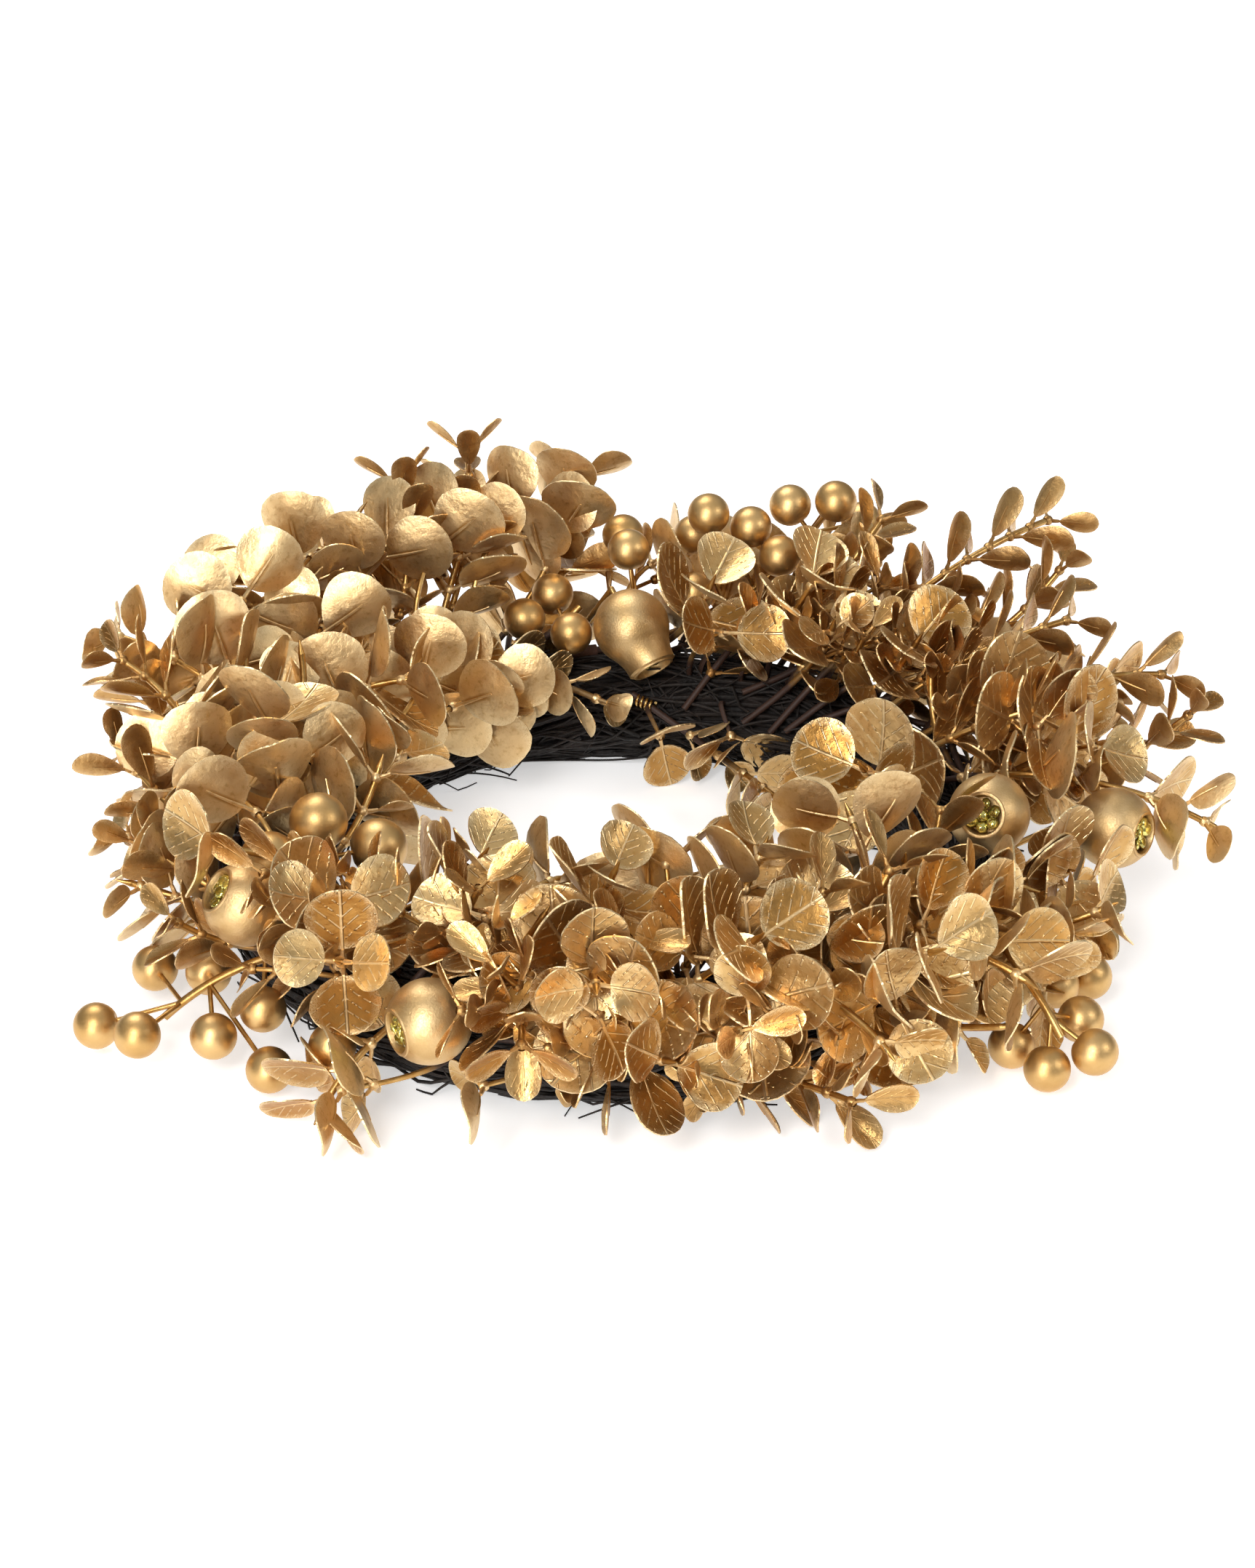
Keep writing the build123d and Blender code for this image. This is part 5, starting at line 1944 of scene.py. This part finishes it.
@dataclass
class TieWire:
    """Bright wire wound round the foot of the centre spray.

    Args:
        turns: Turns of the coil.
        coil_radius: Radius of the coil.
        wire_radius: Radius of the wire.
        samples: Points along the wire.
    """

    turns: float = 4.0
    coil_radius: float = 1.8 * MM
    wire_radius: float = 0.5 * MM
    samples: int = 140

    def build(self) -> None:
        """Wind the wire where the CAD coil is."""
        part = loose_parts("tie_wire")[0]
        centroid, axes = part.axes()
        along = (part.points - centroid) @ axes[0]
        half = (along.max() - along.min()) / 2 - self.wire_radius
        share = np.linspace(0, 1, self.samples)
        turn = 2 * np.pi * self.turns * share
        flat = axes_along(axes[0], 0.0)
        round_part = np.column_stack([np.cos(turn), np.sin(turn)]) * self.coil_radius
        local = np.column_stack([round_part, half * (2 * share - 1)])
        tubes = TubeSet("wound_tie_wire", 2)
        tubes.add(local @ flat + centroid, np.full(len(share), self.wire_radius))
        settle(tubes.build(), TIE_GOLD.material(), ["tie_wire"])


@dataclass
class PlainNodes:
    """CAD nodes that keep their shape and get a finish.

    Args:
        stem_words: How the names of stems start.
    """

    stem_words: tuple[str, ...] = ("eucalyptus_stems_", "boxwood_stems_", "berry_stem_")

    def build(self) -> None:
        """Dress the stems, the bauble wires and the tape."""
        stem, wire, tape = STEM_GOLD.material(), WIRE_GOLD.material(), TAPE.material()
        for node in sorted(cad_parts):
            if node.startswith(self.stem_words):
                dress(node, stem)
        dress("bauble_wires", wire)
        dress("floral_tape", tape)


@dataclass(frozen=True)
class Lamp:
    """A soft square lamp that points at the object.

    Args:
        name: Name of the lamp.
        place: Where it hangs.
        size: Its side.
        power: Its power in watts.
    """

    name: str
    place: Point
    size: float
    power: float


LAMPS = (
    Lamp("key", (-0.45, -1.35, 1.2), 0.6, 17.0),
    Lamp("front", (-0.6, -1.6, 0.35), 0.6, 13.5),
    Lamp("side", (1.3, -0.6, 0.9), 0.5, 5.0),
    Lamp("top", (-0.4, 0.8, 1.4), 0.8, 12.0),
)


@dataclass
class Studio:
    """Pale floor and backdrop, soft lamps and the camera.

    Args:
        target: Point at the middle of the picture.
        distance: Camera distance.
        elevation: Camera height angle in degrees.
        lens: Lens for the picture's height on a 36 mm sensor.
        fill: Level of the room's light at the horizon.
        overhead: Level of the room's light overhead.
        glow: How much the floor shines where it is seen.
        floor_size: Side of the floor.
        floor_gap: How far the floor lies below the table plane.
        lamps: The lamps.
    """

    target: Point = (0.004, 0.037, 0.025)
    distance: float = 1.4
    elevation: float = 29.0
    lens: float = 97.25
    fill: float = 0.1
    overhead: float = 0.5
    glow: float = 0.5
    floor_size: float = 12.0
    floor_gap: float = 0.2 * MM
    lamps: tuple[Lamp, ...] = LAMPS

    def camera(self) -> None:
        """Set the camera to the photo's view."""
        tilt = math.radians(self.elevation)
        back = Vector((0, -math.cos(tilt), math.sin(tilt)))
        data = bpy.data.cameras.new("camera")
        data.sensor_fit = "VERTICAL"
        data.sensor_height = 36.0
        data.lens = self.lens
        camera = bpy.data.objects.new("camera", data)
        camera.location = Vector(self.target) + back * self.distance
        camera.rotation_euler = (-back).to_track_quat("-Z", "Y").to_euler()
        bpy.context.scene.collection.objects.link(camera)
        bpy.context.scene.camera = camera

    def seen(self, tree: bpy.types.NodeTree) -> bpy.types.NodeSocket:
        """Tell rays that see the backdrop as it is.

        Args:
            tree: Node tree of the material.

        Returns:
            A value that is 1 for those rays and 0 for others.
        """
        path = tree.nodes.new("ShaderNodeLightPath")
        total = path.outputs[Ray.CAMERA.value]
        for ray in (Ray.GLOSSY, Ray.TRANSMISSION):
            joined = tree.nodes.new("ShaderNodeMath")
            joined.operation = "MAXIMUM"
            tree.links.new(total, joined.inputs[0])
            tree.links.new(path.outputs[ray.value], joined.inputs[1])
            total = joined.outputs[0]
        return total

    def world(self) -> None:
        """Make a white room that is brightest overhead."""
        world = bpy.data.worlds.new("backdrop")
        bpy.context.scene.world = world
        world.use_nodes = True
        tree = world.node_tree
        background = tree.nodes["Background"]
        background.inputs["Color"].default_value = (1, 1, 1, 1)
        way = tree.nodes.new("ShaderNodeSeparateXYZ")
        place = tree.nodes.new("ShaderNodeTexCoord")
        tree.links.new(place.outputs["Generated"], way.inputs[0])
        level = tree.nodes.new("ShaderNodeMapRange")
        tree.links.new(way.outputs["Z"], level.inputs["Value"])
        level.inputs["From Min"].default_value = 0.05
        level.inputs["From Max"].default_value = 0.85
        level.inputs["To Min"].default_value = self.fill
        level.inputs["To Max"].default_value = self.overhead
        tree.links.new(level.outputs[0], background.inputs["Strength"])

    def floor(self) -> None:
        """Lay a white floor that keeps the shadow."""
        deselect()
        bpy.ops.mesh.primitive_plane_add(size=self.floor_size, location=(0, 0, -self.floor_gap))
        piece = bpy.context.active_object
        piece.name = "floor"
        graph = Graph("floor_white")
        graph.surface(Base_Color=(0.9, 0.9, 0.9), Roughness=0.9, Emission_Color=(1, 1, 1))
        tree = graph.tree
        glow = tree.nodes.new("ShaderNodeMapRange")
        tree.links.new(self.seen(tree), glow.inputs["Value"])
        glow.inputs["To Max"].default_value = self.glow
        tree.links.new(glow.outputs[0], graph.shader.inputs["Emission Strength"])
        piece.data.materials.append(graph.material)

    def hang(self, lamp: Lamp) -> None:
        """Hang a lamp and point it at the object.

        Args:
            lamp: The lamp.
        """
        data = bpy.data.lights.new(lamp.name, "AREA")
        data.shape = "SQUARE"
        data.size = lamp.size
        data.energy = lamp.power
        hung = bpy.data.objects.new(lamp.name, data)
        hung.location = lamp.place
        way = Vector(self.target) - Vector(lamp.place)
        hung.rotation_euler = way.to_track_quat("-Z", "Y").to_euler()
        bpy.context.scene.collection.objects.link(hung)

    def build(self) -> None:
        """Set up the whole studio."""
        self.camera()
        self.world()
        self.floor()
        for lamp in self.lamps:
            self.hang(lamp)
        bpy.context.scene.view_settings.view_transform = "Standard"


EUCALYPTUS_BLADES = [
    Blade(1.12, 0.50, 0.10, 9, 0.045, 0.02, 0.012),
    Blade(1.07, 0.52, 0.14, 10, 0.075, 0.06, -0.018),
    Blade(1.10, 0.50, 0.12, 7, 0.030, -0.04, 0.020),
    Blade(1.02, 0.54, 0.16, 17, 0.060, 0.09, 0.016),
]
BOXWOOD_BLADES = [
    Blade(0.56, 0.62, 0.12, 13, 0.03, 0.03, 0.004, rows=4),
    Blade(0.54, 0.62, 0.15, 11, 0.04, 0.08, -0.006, rows=4),
    Blade(0.58, 0.60, 0.10, 15, 0.02, -0.02, 0.006, rows=4),
]


def shoots(longest: float, spread: float, rows: list[tuple[float, ...]],
           bow: float = STEM_BOW) -> list[SpraySpec]:
    """Return side shoots of one kind.

    Args:
        longest: Length of the largest leaves, in millimetres.
        spread: Angle between stem and leaf, in degrees.
        rows: Seat angle and turn, tip angle, reach and rise, number of pairs and spin, if set.
        bow: How far the stems rise before they turn to their tips, as a share of their span.

    Returns:
        The shoots.
    """
    made = []
    for row in rows:
        spin = row[6] if len(row) > 6 else None
        made.append(SpraySpec(row[0:2], row[2:5], longest, int(row[5]), spread, spin, bow))
    return made


EUCALYPTUS_SHOOTS = {
    "eucalyptus_left": shoots(21.5, 76.0, [
        (172, 80, 146, 40, 56, 4), (165, 95, 143, 12, 50, 3), (178, 85, 158, 30, 44, 3),
        (186, 95, 164, 5, 40, 3), (176, 120, 152, -8, 34, 3), (196, 100, 176, -4, 36, 3),
        (196, 60, 180, 26, 40, 3), (208, 80, 192, 14, 40, 3), (150, 140, 118, -20, 24, 4),
        (160, 135, 132, -14, 34, 3)], ARCHED_BOW),
    "eucalyptus_back": shoots(20.5, 72.0, [
        (150, 70, 132, 40, 58, 4), (140, 80, 122, 30, 58, 4), (128, 85, 110, 36, 56, 4),
        (116, 80, 99, 40, 56, 3), (90, 60, 78, 36, 40, 3)], ARCHED_BOW),
    "eucalyptus_centre": shoots(24.0, 72.0, [
        (76, 110, 65, -24, 44, 1, 90), (84, 150, 79, -30, 4, 1, 0),
        (68, 140, 62, -26, 6, 1, 60)]),
    "eucalyptus_front": shoots(24.5, 66.0, [
        (252, 100, 250, 2, 42, 3), (262, 80, 262, 20, 36, 3), (272, 60, 268, 32, 30, 3),
        (280, 85, 281, 14, 38, 3), (290, 55, 286, 34, 30, 3), (298, 85, 299, 12, 38, 3),
        (262, 15, 254.5, 36, 5, 1, 90), (248, 5, 239, 48, 0, 2, 80),
        (281, 118, 281, -28, 46, 1, 90), (258, 115, 257, -20, 42, 1, 70)]),
    "eucalyptus_right": shoots(25.5, 66.0, [
        (306, 40, 304, 40, 22, 3), (314, 70, 314, 24, 34, 3), (322, 45, 321, 38, 26, 3),
        (328, 70, 327, 22, 24, 3), (338, 40, 335, 40, 8, 3), (20, 70, 6, 28, 42, 3),
        (8, 55, 2, 44, 40, 3), (349, 20, 346, 44, 12, 2)]),
}
BOXWOOD_SHOOTS = {
    "boxwood_front": shoots(17.5, 54.0, [
        (276, 40, 262, 32, 18, 5), (294, 35, 280, 34, 16, 5), (310, 35, 297, 36, 16, 5),
        (258, 75, 246, 12, 40, 4), (284, 55, 270, 34, 30, 5), (302, 55, 288, 36, 28, 5),
        (270, 70, 256, 26, 38, 5), (264, 45, 252, 36, 30, 4), (272, 20, 266, 26, 2, 3),
        (288, 20, 282, 27, 2, 3), (304, 20, 297, 28, 2, 3), (244, 95, 232, 8, 40, 4),
        (232, 100, 224, 2, 40, 4), (236, 70, 223, 28, 36, 4), (232, 45, 221, 36, 18, 4)]),
    "boxwood_right": shoots(17.5, 52.0, [
        (30, 60, 18, 34, 40, 5), (40, 80, 26, 22, 50, 5), (50, 70, 38, 34, 50, 5),
        (58, 85, 46, 18, 54, 5), (66, 60, 54, 44, 44, 5), (24, 85, 12, 14, 44, 4),
        (36, 85, 22, 12, 46, 4), (50, 90, 36, 6, 48, 4), (62, 90, 48, 4, 50, 4),
        (74, 105, 64, 0, 38, 4), (66, 105, 55, 0, 42, 4), (56, 105, 45, -2, 38, 4),
        (44, 40, 30, 52, 28, 5), (56, 35, 42, 54, 26, 5), (16, 60, 4, 38, 36, 4)]),
    "boxwood_back": shoots(17.5, 52.0, [
        (80, 50, 66, 40, 34, 4), (96, 45, 82, 44, 30, 4), (108, 50, 92, 46, 36, 4)]),
    "boxwood_left": shoots(17.5, 52.0, [
        (180, 50, 168, 48, 48, 5), (192, 45, 180, 48, 40, 5), (204, 40, 194, 44, 28, 4)]),
}


def main() -> None:
    """Build the candle ring's pieces in order and set the studio."""
    logging.basicConfig(level=logging.INFO, format="%(message)s")
    Studio().build()
    ring = TwigRing()
    ring.build()
    eucalyptus = LeafFamily(Plant.EUCALYPTUS, EUCALYPTUS_BLADES, EUCALYPTUS_GOLD, petiole=3.0 * MM)
    eucalyptus.build()
    SideShoots(eucalyptus, EUCALYPTUS_SHOOTS, ring).build()
    boxwood = LeafFamily(Plant.BOXWOOD, BOXWOOD_BLADES, BOXWOOD_GOLD, petiole=2.0 * MM)
    boxwood.build()
    SideShoots(boxwood, BOXWOOD_SHOOTS, ring).build()
    Berries().build()
    Baubles().build()
    TieWire().build()
    PlainNodes().build()


if __name__ == "__main__":
    main()
